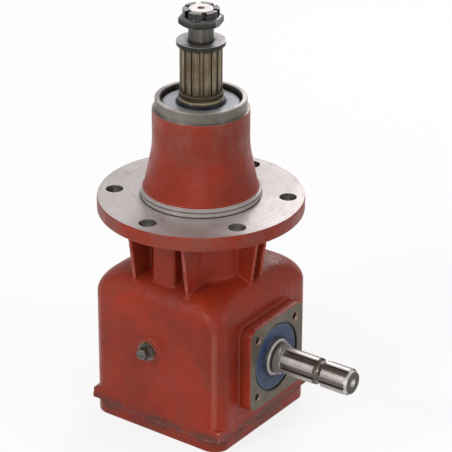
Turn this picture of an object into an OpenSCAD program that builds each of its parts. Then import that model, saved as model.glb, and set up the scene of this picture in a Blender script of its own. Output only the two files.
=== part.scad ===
// Right-angle bevel gearbox of a rotary cutter, drawn standing on its cover, output shaft up.
// Origin: on the output axis, at the plane the cover stands on.
// +Z runs along the output shaft and +X along the input shaft. All lengths are millimetres.

/* [Box] */
// Width of the box along the input shaft
box_w = 199; // [190:1:210]
// Depth of the box across the input shaft
box_d = 196; // [188:1:210]
// Height of the top of the box above the ground
box_top = 204; // [200:1:212]
// Thickness of the cast walls
wall = 9; // [7:0.5:11]
// Radius of the four upright corners
corner_r = 21; // [16:1:26]
// Rounding of the edges round the top of the box
crown_r = 35; // [28:1:38]
// Height of the square lugs at the foot of the corners
lug_h = 14; // [10:1:20]
// Height of the input axis above the ground
input_z = 103.5; // [102:0.5:106]

/* [Neck and flange] */
// Radius of the neck between the box and the flange
neck_r = 65; // [62:1:68]
// Height of the flange's top face
flange_z = 296; // [288:1:304]
// Outer radius of the flange
flange_r = 129; // [124:1:134]
// Thickness of the flange
flange_t = 19; // [15:1:23]
// Distance from the middle of a flange bolt to the flange's edge
bolt_edge = 21; // [17:0.5:26]
// Radius of a flange bolt hole
bolt_hole_r = 11; // [8:0.5:12]
// Radius of the spigot that centres the flange
spigot_r = 75; // [73.5:0.5:80]
// Height of the spigot
spigot_h = 9; // [6:1:12]

/* [Cone and hub] */
// Height of the hub's machined rim
hub_z = 425; // [420:1:430]
// Radius of the machined register round the rim
hub_r = 56.5; // [55:0.5:58]
// Height of the machined register
hub_band = 14.5; // [8:0.5:18]
// Radius of the cone at its top
cone_top_r = 60.2; // [59.5:0.1:62]
// Radius of the cone at its foot
cone_foot_r = 71.8; // [70:0.1:73]
// Height where the cone bends into its straight top
cone_bend_z = 358; // [345:1:370]

/* [Ribs] */
// Thickness of a rib
rib_t = 5; // [4:0.5:8]
// Distance of the front ribs to each side of the middle
front_rib_x = 40.5; // [34:0.5:46]
// How far the front and side ribs reach under the flange
rib_reach = 96; // [88:1:104]
// How far the rear ribs reach under the flange
rear_rib_reach = 80; // [74:1:96]
// How much a rib draws back towards its foot
rib_draft = 12; // [3:0.5:14]
// Distance of each side rib from the middle
side_rib_y = 9.4; // [6:0.2:20]
// Radius of the fillet between the neck and the outer face of a front or rear rib
rib_root_r = 20; // [10:1:24]
// Width of the flat pad on the front of the neck
neck_pad_w = 35; // [26:1:44]
// How far that pad stands from the output axis
neck_pad_reach = 78; // [72:1:84]

/* [Cover] */
// Thickness of the cover the gearbox stands on
cover_t = 16.5; // [14:0.5:20]
// Thickness of the cover's gasket
gasket_t = 1.5; // [0.5:0.25:2.5]
// Nominal radius of a cover screw
cover_screw_r = 5; // [4:0.5:6]
// Length of a cover screw under its head
cover_screw_len = 28; // [24:1:32]
// Distance of a cover screw from both sides of its corner
cover_screw_inset = 13; // [11:0.5:15]

/* [Input side] */
// How far the input pad's machined face stands out of the box
pad_h = 18; // [15:0.5:22]
// Width and height of the input pad
pad_w = 112; // [104:1:116]
// Radius of the input pad's corners
pad_corner_r = 12; // [8:1:16]
// Spacing of the four tapped holes in the input pad
pad_pitch = 80; // [76:1:86]
// Radius of those tapped holes
pad_hole_r = 4.25; // [2.5:0.05:5]
// Depth of those tapped holes
pad_hole_deep = 16; // [10:1:20]
// Distance of the input shaft's end from the output axis
input_end = 230.5; // [220:0.5:240]
// Outer radius of the six-tooth input spline
input_spline_r = 17.45; // [16:0.05:19]
// Depth of the input spline's grooves
input_spline_deep = 2.75; // [2:0.05:3.2]
// Width of one input spline tooth
input_tooth_w = 8.7; // [7:0.1:9.5]
// Length of the input spline
input_spline_len = 98; // [85:1:100]
// Distance of the locking groove from the shaft's end
lock_groove_x = 44; // [36:1:48]
// Angle of the first input spline tooth
input_spline_turn = 0; // [0:1:59]
// Radius of the shaft where the input seal runs
input_journal_r = 24; // [23:0.5:24.5]

/* [Output side] */
// Height of the output spline's foot above the hub's rim
spline_foot_h = 9; // [6:1:15]
// Length of the output spline
spline_len = 59; // [52:1:66]
// Outer radius of the output spline
spline_r = 26.15; // [25:0.05:27]
// Depth of the output spline's grooves
spline_deep = 2.6; // [1.8:0.1:3]
// Teeth of the output spline
spline_teeth = 15; // [12:1:18]
// Angle of the first output spline tooth
spline_turn = -64; // [-180:1:180]
// Radius of the threaded stud on the output shaft
stud_r = 15.6; // [14:0.1:17]
// Length of the stud above the spline
stud_len = 45.5; // [42:0.5:52]
// Outer radius of the washer on the spline's end
washer_r = 30.1; // [27:0.1:34]
// Thickness of that washer
washer_t = 5.2; // [4:0.2:7]
// Gap between the washer and the castle nut, which is only started on its thread
nut_gap = 20.4; // [14:0.2:22]
// Width of the castle nut across its flats
nut_flats = 48; // [46:0.5:52]
// Height of the nut's hexagon
nut_hex_h = 11; // [9:0.5:12]
// Height of the nut's slotted crown
nut_crown_h = 9; // [7:0.5:10]
// Radius of the nut's crown
nut_crown_r = 22.5; // [21:0.5:23]
// Width of a slot in the nut's crown
nut_slot_w = 6.5; // [5:0.5:8]
// Angle of one of those slots
nut_turn = -44; // [-60:1:60]

/* [Gears] */
// Size of a tooth at the large end, pitch diameter over number of teeth
gear_module = 6.75; // [6.5:0.05:6.85]
// Teeth of the gear on the input shaft
input_teeth = 22; // [21:1:23]
// Teeth of the pinion on the output shaft
output_teeth = 15; // [14:1:16]
// Length of a tooth along the pitch cone
face_w = 26; // [20:1:28]
// Pressure angle of the teeth
pressure_angle = 20; // [18:0.5:22]
// Play between two meshed teeth
backlash = 0.5; // [0.3:0.05:0.8]

/* [Bearings and seals] */
// Bore radius of the two output bearings
out_bore_r = 27.5; // [27:0.5:29]
// Outer radius of the two output bearings and of the output seal
out_od_r = 50; // [49:0.5:51]
// Overall width of an output bearing
out_width = 26.75; // [25:0.25:29]
// Bore radius of the front input bearing
front_bore_r = 25; // [24.5:0.5:26]
// Outer radius of the front input bearing and of the input seal
front_od_r = 45; // [44:0.5:46]
// Overall width of the front input bearing
front_width = 21.75; // [20:0.25:23]
// Bore radius of the rear input bearing
rear_bore_r = 20; // [19:0.5:21]
// Outer radius of the rear input bearing
rear_od_r = 40; // [39:0.5:41]
// Overall width of the rear input bearing
rear_width = 19.75; // [18:0.25:21]
// Width of the two shaft seals
seal_w = 10; // [8:0.5:11]
// How far the output seal lies below the hub's rim
output_seal_deep = 6.5; // [5:0.5:8]
// How far the output seal's dust lip stands up from its face
dust_lip_h = 4.5; // [1:0.5:5]
// How far the input seal lies behind the pad's face
input_seal_deep = 2; // [1:0.5:3]
// Thickness of the retaining rings
ring_t = 3; // [2:0.25:3.5]

/* [Plugs and rear cap] */
// Distance of the level plug from the middle of the box
plug_x = -7; // [-30:1:30]
// Height of the level plug
plug_z = 116; // [100:1:130]
// Radius of the raised pad round a plug
plug_pad_r = 16; // [13:0.5:19]
// Radius of a plug's thread
plug_r = 8; // [6:0.5:9]
// Width of a plug's hexagon across its flats
plug_flats = 14; // [11:0.5:17]
// Radius of the boss for the rear bearing
rear_boss_r = 56; // [54:1:60]
// How far that boss stands out of the box
rear_boss_h = 8.5; // [6:0.5:12]
// Thickness of the rear cap
cap_t = 7; // [5:0.5:10]
// Pitch circle diameter of the rear cap's screws
cap_pcd = 95; // [92:1:98]
// Nominal radius of a rear cap screw
cap_screw_r = 4; // [3:0.5:4.5]

/* [Fits] */
// Gap round a piece that is seated and stays still
seat_gap = 0.02; // [0.01:0.01:0.05]
// Gap round a piece that turns
run_gap = 0.05; // [0.03:0.01:0.1]

/* [Hidden] */
$fn = 64;
// A small overlap that lets joined solids share volume and cuts run clear of a face
eps = 0.5;
paint = [0.55, 0.2, 0.16];
steel = [0.6, 0.58, 0.55];
dark_steel = [0.25, 0.24, 0.23];
machined = [0.74, 0.7, 0.7];
seal_blue = [0.2, 0.3, 0.5];

body_z = cover_t + gasket_t;
flange_under = flange_z - flange_t;
bolt_pcd = 2 * (flange_r - bolt_edge);
pad_x = box_w / 2 + pad_h;
rear_boss_x = box_w / 2 + rear_boss_h;
spigot_z = flange_z + spigot_h;
spline_foot_z = hub_z + spline_foot_h;
spline_top_z = spline_foot_z + spline_len;
stud_end_z = spline_top_z + stud_len;
nut_z = spline_top_z + washer_t + nut_gap;
cast_top_z = hub_z - hub_band;
corner_segs = 8;
crown_segs = 10;
boss_wall = 11;
rear_boss_wall = 13;

// Heights of the output stack. Each cup's back faces outwards and lies against its ring.
upper_seal_z = hub_z - output_seal_deep;
upper_ring_z = upper_seal_z - seal_w - 1;
upper_back = upper_ring_z - ring_t;
upper_shoulder = upper_back - out_width;
boss_foot_z = box_top - wall - 6;
lower_ring_z = boss_foot_z + 3;
lower_back = lower_ring_z + ring_t;
lower_shoulder = lower_back + out_width;
out_cup_w = out_width * 0.785;
out_cone_w = out_width * 0.935;

// Places along the input shaft
front_seal_x = pad_x - input_seal_deep;
front_ring_x = front_seal_x - seal_w - 1;
front_back = front_ring_x - ring_t;
front_shoulder = front_back - front_width;
front_cup_w = front_width * 0.78;
front_cone_w = front_width * 0.92;
front_boss_in = front_back - front_cup_w - 2;
cap_gasket_t = 0.5;
cap_spigot = 7;
rear_back = -(rear_boss_x - cap_spigot);
rear_shoulder = rear_back + rear_width;
rear_cup_w = rear_width * 0.81;
rear_cone_w = rear_width * 0.91;
rear_boss_in = rear_back + rear_cup_w + 2;

// The two pitch cones share their tip where the axes cross.
input_pitch_r = gear_module * input_teeth / 2;
output_pitch_r = gear_module * output_teeth / 2;
cone_len = sqrt(pow(input_pitch_r, 2) + pow(output_pitch_r, 2));
input_pitch_angle = atan(input_teeth / output_teeth);
output_pitch_angle = 90 - input_pitch_angle;
tip_angle = atan(gear_module / cone_len);
root_angle = atan(1.25 * gear_module / cone_len);
inner_len = cone_len - face_w;

// Splines that carry the two gears
gear_seat_r = front_bore_r;
pinion_seat_r = out_bore_r - 3;
seat_spline_deep = 2.5;
seat_splines = 10;
gear_collar_r = gear_seat_r + 4;
gear_inner_x = 36;
pinion_foot_z = input_z + inner_len * cos(output_pitch_angle - root_angle) - 2;
pinion_nut_h = 14;
pinion_nut_r = pinion_seat_r + 7;
pinion_thread_r = pinion_seat_r - seat_spline_deep - 0.5;
shaft_foot_z = pinion_foot_z - pinion_nut_h - 3;
barrel_r = out_bore_r + 5.5;

screw_head_r = cover_screw_r * 1.6;
screw_head_h = cover_screw_r * 2;
head_sink = 0.6;
cap_head_h = cap_screw_r * 1.3;
cap_screw_deep = 18;
plug_pad_h = 3;
washer_thin = 1.5;
plug_flange_r = plug_r + 3.5;
plug_flange_h = 3.5;
plug_hex_h = 10;
plug_thread = 11;

// Points of an arc round c, from angle a0 to a1
function arc(c, r, a0, a1, n) = [for (i = [0:n]) let (a = a0 + (a1 - a0) * i / n)
    [c[0] + r * cos(a), c[1] + r * sin(a)]];

// Outline of a rectangle with rounded corners, round the middle
function round_rect(w, d, r, n) = [for (q = [0:3])
    let (sx = (q == 0 || q == 3) ? 1 : -1, sy = q < 2 ? 1 : -1)
    each arc([sx * (w / 2 - r), sy * (d / 2 - r)], r, 90 * q, 90 * (q + 1), n)];

// A closed skin over rings of points, each ring with the same number of points
module skin(rings) {
    n = len(rings[0]);
    m = len(rings);
    pts = [for (ring = rings) each ring];
    sides = [for (k = [0:m - 2], i = [0:n - 1])
        [k * n + i, (k + 1) * n + i, (k + 1) * n + (i + 1) % n, k * n + (i + 1) % n]];
    foot = [for (i = [0:n - 1]) i];
    top = [for (i = [n - 1:-1:0]) (m - 1) * n + i];
    polyhedron(points = pts, faces = concat([foot], sides, [top]));
}

// A box with upright corners of radius r whose top edges roll over with radius crown
module crowned_box(w, d, z0, z1, r, crown, n, steps) {
    skin([each [for (z = [z0]) [for (p = round_rect(w, d, r, n)) [p[0], p[1], z]]],
        each [for (i = [0:steps]) let (a = 90 * i / steps, inset = crown * (1 - cos(a)))
            [for (p = round_rect(w - 2 * inset, d - 2 * inset, r + 0.35 * inset, n))
                [p[0], p[1], z1 - crown + crown * sin(a)]]]]);
}

// A flat plate outline with true round corners
module plate(w, d, r) {
    square([w - 2 * r, d], center = true);
    square([w, d - 2 * r], center = true);
    for (x = [-1, 1], y = [-1, 1]) translate([x * (w / 2 - r), y * (d / 2 - r)]) circle(r);
}

// Turns a shape drawn along +Z so that it lies along the input axis, pointing to +X
module along_input() translate([0, 0, input_z]) rotate([0, 90, 0]) children();

// Turns a shape drawn along +Z so that it points out of the front face at the level plug
module at_level_plug() translate([plug_x, -box_d / 2 - plug_pad_h, plug_z]) rotate([90, 0, 0]) children();

// The fill plug lies in the rear face, level with the other one
module at_fill_plug() translate([-plug_x, box_d / 2 + plug_pad_h, plug_z]) rotate([-90, 0, 0]) children();

module at_cover_screws() {
    for (x = [-1, 1], y = [-1, 1])
        translate([x * (box_w / 2 - cover_screw_inset), y * (box_d / 2 - cover_screw_inset), 0]) children();
}

module at_cap_screws() {
    for (a = [45:90:315])
        translate([-rear_boss_x, cap_pcd / 2 * cos(a), input_z + cap_pcd / 2 * sin(a)])
            rotate([0, 90, 0]) children();
}

module at_flange_bolts() {
    for (a = [30:60:330]) rotate([0, 0, a]) translate([bolt_pcd / 2, 0, 0]) children();
}

// A ring of revolution between two radii
module ring(r0, r1, z0, z1) {
    translate([0, 0, z0]) difference() {
        cylinder(r = r1, h = z1 - z0);
        translate([0, 0, -eps]) cylinder(r = r0, h = z1 - z0 + 2 * eps);
    }
}

// Profile of the neck, the flange, the spigot, the cone and the hub, as one turned outline
module column_profile() {
    fillet = 8;
    under = 5;
    polygon(concat(
        [[0, box_top - crown_r], [neck_r, box_top - crown_r]],
        [[neck_r + fillet, box_top - 2], [neck_r + fillet, box_top]],
        arc([neck_r + fillet, box_top + fillet], fillet, 270, 180, 6),
        arc([neck_r + under, flange_under - under], under, 180, 90, 5),
        arc([flange_r - 2, flange_under + 2], 2, 270, 360, 4),
        [[flange_r, flange_z - 1], [flange_r - 1, flange_z], [spigot_r, flange_z]],
        [[spigot_r, spigot_z - 1], [spigot_r - 1, spigot_z], [cone_foot_r, spigot_z]],
        [[cone_top_r + 1.4, cone_bend_z - 4], [cone_top_r + 0.4, cone_bend_z + 5]],
        [[cone_top_r, cone_bend_z + 12], [cone_top_r, cast_top_z - 1], [cone_top_r - 1, cast_top_z]],
        [[hub_r, cast_top_z], [hub_r, hub_z - 1], [hub_r - 1, hub_z], [0, hub_z]]));
}

// One rib seen from its side: it hangs under the flange and stands on the box
module rib_side(reach) {
    foot_z = box_top - crown_r;
    polygon([[neck_r - 12, foot_z], [reach - rib_draft - 1, foot_z], [reach - rib_draft, box_top - 10],
        [reach, flange_under + eps], [neck_r - 12, flange_under + eps]]);
}

module rib(angle, shift, reach) {
    rotate([0, 0, angle]) translate([0, shift + rib_t / 2, 0]) rotate([90, 0, 0])
        linear_extrude(rib_t) rib_side(reach);
}

module ribs() {
    for (s = [-1, 1]) {
        rib(270, s * front_rib_x, rib_reach);
        rib(90, s * front_rib_x, rear_rib_reach);
        rib(0, s * side_rib_y, rib_reach);
        rib(180, s * side_rib_y, rib_reach);
    }
}

// Fillet that runs from the outer face of a front or rear rib into the round neck, seen from above.
// It stops just short of touching both, so that it cuts into them cleanly.
module rib_root() {
    x = front_rib_x + rib_t / 2 + rib_root_r;
    y = sqrt(pow(neck_r + rib_root_r, 2) - pow(x, 2));
    short = 4;
    curve = arc([x, y], rib_root_r, 180 + short, 180 + atan(y / x) - short, 6);
    last = curve[len(curve) - 1];
    translate([0, 0, box_top - wall / 2]) linear_extrude(flange_under - box_top + wall / 2 + eps)
        polygon(concat([[front_rib_x, curve[0][1]]], curve, [[front_rib_x, last[1] - 2]]));
}

module rib_roots() {
    for (x = [0, 1], y = [0, 1]) mirror([x, 0, 0]) mirror([0, y, 0]) rib_root();
}

// Flat pad on the front of the neck, with rounded upright edges
module neck_pad() {
    r = 4;
    reach = neck_pad_reach;
    translate([0, -reach / 2 - 15, box_top - crown_r + 10])
        linear_extrude(flange_under - box_top + crown_r - 10 + eps) plate(neck_pad_w, reach - 30, r);
}

// Pad for the input seal and bearing, with a narrow cast edge round its machined face
module input_pad() {
    along_input() translate([0, 0, box_w / 2 - wall]) {
        linear_extrude(pad_h + wall - 1.5) plate(pad_w + 2, pad_w + 2, pad_corner_r);
        linear_extrude(pad_h + wall) plate(pad_w, pad_w, pad_corner_r);
    }
}

// Everything that is cut out of the casting
module casing_cuts() {
    crowned_box(box_w - 2 * wall, box_d - 2 * wall, body_z - eps, box_top - wall,
        corner_r - wall, crown_r - wall, 3, 5);
}

module casing_bores() {
    // The bearing bores, their ring grooves and the cored middle of the neck
    translate([0, 0, boss_foot_z - eps]) cylinder(r = out_od_r, h = out_cup_w + lower_back - boss_foot_z + 2 + eps);
    translate([0, 0, boss_foot_z]) cylinder(r = out_od_r - 3, h = hub_z - boss_foot_z - 20);
    translate([0, 0, upper_back - out_cup_w - 2]) cylinder(r = out_od_r, h = hub_z);
    translate([0, 0, hub_z - 1]) cylinder(r1 = out_od_r, r2 = out_od_r + 1.2, h = 1.2);
    translate([0, 0, lower_ring_z]) cylinder(r = out_od_r + 2, h = ring_t);
    translate([0, 0, upper_back]) cylinder(r = out_od_r + 2, h = ring_t);
    along_input() {
        translate([0, 0, front_boss_in - eps]) cylinder(r = front_od_r, h = pad_x);
        translate([0, 0, front_back]) cylinder(r = front_od_r + 2, h = ring_t);
        translate([0, 0, pad_x - 1]) cylinder(r1 = front_od_r, r2 = front_od_r + 1.2, h = 1.2);
        translate([0, 0, -rear_boss_x - eps]) cylinder(r = rear_od_r, h = rear_boss_x + rear_boss_in + 2 * eps);
    }
}

// Screw, bolt and plug holes
module casing_holes() {
    at_flange_bolts() translate([0, 0, flange_under - eps]) cylinder(r = bolt_hole_r, h = flange_t + 2 * eps);
    at_cover_screws() translate([0, 0, body_z - eps])
        cylinder(r = cover_screw_r + seat_gap, h = head_sink + screw_head_h + cover_screw_len + 2 - body_z + eps);
    for (y = [-1, 1], z = [-1, 1])
        translate([pad_x - pad_hole_deep, y * pad_pitch / 2, input_z + z * pad_pitch / 2])
            rotate([0, 90, 0]) cylinder(r = pad_hole_r, h = pad_hole_deep + eps);
    at_cap_screws() translate([0, 0, -eps]) cylinder(r = cap_screw_r + seat_gap, h = cap_screw_deep + eps);
    at_level_plug() translate([0, 0, -wall - plug_pad_h - 3]) cylinder(r = plug_r + seat_gap, h = wall + plug_pad_h + 4);
    at_fill_plug() translate([0, 0, -wall - plug_pad_h - 3]) cylinder(r = plug_r + seat_gap, h = wall + plug_pad_h + 4);
}

module housing() {
    boss_h = head_sink + screw_head_h + cover_screw_len + 6 - body_z;
    color(paint) difference() {
        union() {
            difference() {
                union() {
                    crowned_box(box_w, box_d, body_z, box_top, corner_r, crown_r, corner_segs, crown_segs);
                    translate([0, 0, body_z]) linear_extrude(lug_h) plate(box_w, box_d, 2);
                    rotate_extrude() column_profile();
                    ribs();
                    rib_roots();
                    neck_pad();
                    input_pad();
                    along_input() translate([0, 0, -rear_boss_x]) cylinder(r = rear_boss_r, h = 30);
                    at_level_plug() translate([0, 0, -6]) cylinder(r = plug_pad_r, h = 6);
                    at_fill_plug() translate([0, 0, -6]) cylinder(r = plug_pad_r, h = 6);
                }
                casing_cuts();
            }
            // Bosses that stand inside the box
            translate([0, 0, boss_foot_z]) cylinder(r = out_od_r + boss_wall, h = wall + 8);
            along_input() {
                translate([0, 0, front_boss_in]) cylinder(r = front_od_r + boss_wall, h = box_w / 2 - front_boss_in - 2);
                translate([0, 0, -box_w / 2 + 2]) cylinder(r = rear_od_r + rear_boss_wall, h = rear_boss_in + box_w / 2 - 2);
            }
            intersection() {
                at_cover_screws() translate([0, 0, body_z]) cylinder(r = cover_screw_r + 8, h = boss_h);
                translate([0, 0, body_z]) linear_extrude(boss_h) plate(box_w - 4, box_d - 4, corner_r - 4);
            }
        }
        casing_bores();
        casing_holes();
    }
}

module cover() {
    color(paint) difference() {
        linear_extrude(cover_t) plate(box_w, box_d, corner_r);
        at_cover_screws() {
            translate([0, 0, -eps]) cylinder(r = screw_head_r + 0.5, h = head_sink + screw_head_h + eps);
            cylinder(r = cover_screw_r + 0.5, h = cover_t + eps);
        }
        // Weight-saving recess on the inside
        translate([0, 0, cover_t - 5]) linear_extrude(6)
            plate(box_w - 2 * wall - 44, box_d - 2 * wall - 44, corner_r);
    }
}

module cover_gasket() {
    color(dark_steel) translate([0, 0, cover_t]) linear_extrude(gasket_t) difference() {
        plate(box_w - 1, box_d - 1, corner_r);
        difference() {
            plate(box_w - 2 * wall, box_d - 2 * wall, corner_r - wall);
            at_cover_screws() circle(cover_screw_r + 8);
        }
        at_cover_screws() circle(cover_screw_r + 0.5);
    }
}

module cover_screws() {
    color(dark_steel) at_cover_screws() translate([0, 0, head_sink]) difference() {
        union() {
            cylinder(r = screw_head_r, h = screw_head_h);
            cylinder(r = cover_screw_r, h = screw_head_h + cover_screw_len);
        }
        translate([0, 0, -eps]) cylinder(r = cover_screw_r * 0.92, h = screw_head_h / 2 + eps, $fn = 6);
    }
}

// Threaded plug with a collar and a small hexagon, drawn pointing outwards from its pad
module plug() {
    color(dark_steel) {
        translate([0, 0, washer_thin - plug_thread]) cylinder(r = plug_r, h = plug_thread + eps);
        translate([0, 0, washer_thin]) cylinder(r = plug_flange_r, h = plug_flange_h);
        translate([0, 0, washer_thin + plug_flange_h - eps])
            intersection() {
                cylinder(r = plug_flats / sqrt(3), h = plug_hex_h + eps, $fn = 6);
                cylinder(r1 = plug_flats, r2 = plug_flats / 2 - 0.5, h = plug_hex_h + eps);
            }
    }
}

module level_plug() at_level_plug() plug();
module fill_plug() at_fill_plug() plug();
module plug_washer() color(machined) ring(plug_r + seat_gap, plug_flange_r + 1, 0, washer_thin);
module level_plug_washer() at_level_plug() plug_washer();
module fill_plug_washer() at_fill_plug() plug_washer();

module rear_cap() {
    color(paint) difference() {
        along_input() {
            translate([0, 0, -rear_boss_x - cap_gasket_t - cap_t]) cylinder(r = rear_boss_r - 1, h = cap_t);
            translate([0, 0, -rear_boss_x - cap_gasket_t - eps])
                cylinder(r = rear_od_r - seat_gap, h = cap_spigot + cap_gasket_t + eps);
            translate([0, 0, -rear_boss_x - cap_gasket_t - cap_t - 2]) cylinder(r1 = 30, r2 = 34, h = 2 + eps);
        }
        along_input() translate([0, 0, -rear_boss_x - 2]) cylinder(r = rear_od_r - 7, h = 20);
        at_cap_screws() translate([0, 0, -cap_t - 4]) cylinder(r = cap_screw_r + 0.5, h = cap_t + 8);
    }
}

module rear_cap_gasket() {
    color(dark_steel) difference() {
        along_input() ring(rear_od_r + seat_gap, rear_boss_r - 1, -rear_boss_x - cap_gasket_t, -rear_boss_x);
        at_cap_screws() translate([0, 0, -2]) cylinder(r = cap_screw_r + 0.5, h = 4);
    }
}

module rear_cap_screws() {
    color(steel) at_cap_screws() {
        translate([0, 0, -cap_gasket_t - cap_t]) cylinder(r = cap_screw_r, h = cap_gasket_t + cap_t + cap_screw_deep - 2);
        translate([0, 0, -cap_gasket_t - cap_t - cap_head_h]) cylinder(r = cap_screw_r * 1.85, h = cap_head_h, $fn = 6);
    }
}

// Lip seal with its outer face at z = 0 and its body behind it: a metal case sunk a little at its rim,
// a flat face, a dust lip that stands up by lip_h and a main lip inside
module seal_profile(lip_r, od_r, lip_h) {
    r0 = lip_r + run_gap;
    r1 = od_r - seat_gap;
    polygon([[r0, -8], [r0, lip_h], [r0 + 1.2, lip_h], [r0 + 2, lip_h - 1], [r0 + 2.4, 0.8], [r0 + 3.6, 0],
        [r1 - 3, 0], [r1 - 2.4, -1.2], [r1 - 0.6, -1.2], [r1, -1.8], [r1, -seal_w], [r1 - 3, -seal_w],
        [r1 - 3, -4], [r0 + 3, -4], [r0 + 3, -8]]);
}

module input_seal() color(seal_blue) along_input() translate([0, 0, front_seal_x])
    rotate_extrude() seal_profile(input_journal_r, front_od_r, 1.2);
module output_seal() color(machined) translate([0, 0, upper_seal_z])
    rotate_extrude() seal_profile(out_bore_r, out_od_r, dust_lip_h);

// Retaining ring sprung into a groove, open at one side
module retaining_ring(od_r) {
    color(steel) difference() {
        ring(od_r - 4, od_r + 1.8, 0.02, ring_t - 0.02);
        translate([0, -6, -eps]) cube([od_r + 5, 12, ring_t + 2 * eps]);
    }
}

module front_ring() along_input() translate([0, 0, front_back]) retaining_ring(front_od_r);
module lower_ring() translate([0, 0, lower_ring_z]) retaining_ring(out_od_r);
module upper_ring() translate([0, 0, upper_back]) retaining_ring(out_od_r);

// Taper roller bearing, drawn with the cup's back at height 0 and the inner ring's back at height w.
// The races widen towards the inner ring's back.
race_tilt = 13;
roller_taper = 2;
function roller_d(bore, od) = (od - bore) * 0.5;
function race_mid_r(bore, od) = (od + bore) / 2 - 0.3;
function cup_race(bore, od, w, h) = race_mid_r(bore, od) + (h - w / 2) * tan(race_tilt + roller_taper)
    + (roller_d(bore, od) / 2 + run_gap) / cos(race_tilt + roller_taper);
function cone_race(bore, od, w, h) = race_mid_r(bore, od) + (h - w / 2) * tan(race_tilt - roller_taper)
    - (roller_d(bore, od) / 2 + run_gap) / cos(race_tilt - roller_taper);

module bearing_cup(bore, od, w, cup_w) {
    o = od - seat_gap;
    color(steel) rotate_extrude()
        polygon([[o - 1.5, 0], [o, 1.5], [o, cup_w - 1], [o - 1, cup_w],
            [cup_race(bore, od, w, cup_w), cup_w], [cup_race(bore, od, w, 0), 0]]);
}

module bearing_cone(bore, od, w, cone_w) {
    b = bore;
    h0 = w - cone_w;
    rib_w = w * 0.14;
    lip_w = 1.5;
    big = cone_race(bore, od, w, w - rib_w);
    small = cone_race(bore, od, w, h0 + lip_w);
    color(steel) rotate_extrude()
        polygon([[b, h0], [small + 1, h0], [small + 1, h0 + lip_w], [small, h0 + lip_w], [big, w - rib_w],
            [big + 2.5, w - rib_w], [big + 2.5, w], [b, w]]);
}

// Rollers held in their cage: the cage is a thin conical shell through the rollers' middles
module bearing_rollers(bore, od, w, cone_w, count) {
    d = roller_d(bore, od);
    slant = d / 2 * sin(race_tilt);
    h0 = w - cone_w + 1.5 + 0.6;
    h1 = w - w * 0.14 - slant - 0.4;
    mid = (h0 + h1) / 2;
    len = (h1 - h0) / cos(race_tilt);
    grow = len / 2 * tan(roller_taper);
    mid_r = race_mid_r(bore, od) + (mid - w / 2) * tan(race_tilt);
    // The roller's middle radius follows the gap between the races at its own height
    mid_d = d / 2 + (mid - w / 2) / cos(race_tilt) * tan(roller_taper);
    shell = 0.7;
    color(dark_steel) {
        for (i = [0:count - 1]) rotate([0, 0, 360 * i / count]) translate([mid_r, 0, mid])
            rotate([0, race_tilt, 0]) translate([0, 0, -len / 2])
                cylinder(r1 = mid_d - grow, r2 = mid_d + grow, h = len);
        rotate_extrude() polygon([
            [mid_r - (mid - h0 + 1) * tan(race_tilt) - shell, h0 - 1],
            [mid_r - (mid - h0 + 1) * tan(race_tilt) + shell, h0 - 1],
            [mid_r + (h1 + 1 - mid) * tan(race_tilt) + shell, h1 + 1],
            [mid_r + (h1 + 1 - mid) * tan(race_tilt) - shell, h1 + 1]]);
    }
}

// Upper and front bearings open inwards, so they are turned over
module at_upper() translate([0, 0, upper_back]) rotate([180, 0, 0]) children();
module at_lower() translate([0, 0, lower_back]) children();
module at_front() along_input() translate([0, 0, front_back]) rotate([180, 0, 0]) children();
module at_rear() along_input() translate([0, 0, rear_back]) children();

module upper_cup() at_upper() bearing_cup(out_bore_r, out_od_r, out_width, out_cup_w);
module lower_cup() at_lower() bearing_cup(out_bore_r, out_od_r, out_width, out_cup_w);
module front_cup() at_front() bearing_cup(front_bore_r, front_od_r, front_width, front_cup_w);
module rear_cup() at_rear() bearing_cup(rear_bore_r, rear_od_r, rear_width, rear_cup_w);
module upper_cone() at_upper() bearing_cone(out_bore_r + seat_gap, out_od_r, out_width, out_cone_w);
module lower_cone() at_lower() bearing_cone(out_bore_r + seat_gap, out_od_r, out_width, out_cone_w);
module front_cone() at_front() bearing_cone(front_bore_r + seat_gap, front_od_r, front_width, front_cone_w);
module rear_cone() at_rear() bearing_cone(rear_bore_r + seat_gap, rear_od_r, rear_width, rear_cone_w);
module upper_rollers() at_upper() bearing_rollers(out_bore_r, out_od_r, out_width, out_cone_w, 17);
module lower_rollers() at_lower() bearing_rollers(out_bore_r, out_od_r, out_width, out_cone_w, 17);
module front_rollers() at_front() bearing_rollers(front_bore_r, front_od_r, front_width, front_cone_w, 17);
module rear_rollers() at_rear() bearing_rollers(rear_bore_r, rear_od_r, rear_width, rear_cone_w, 15);

// Angle that a spherical involute has turned through at cone angle g, from base cone b
function involute(b, g) = g <= b ? 0 : acos(cos(g) / cos(b)) / sin(b) - acos(tan(b) / tan(g));

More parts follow.
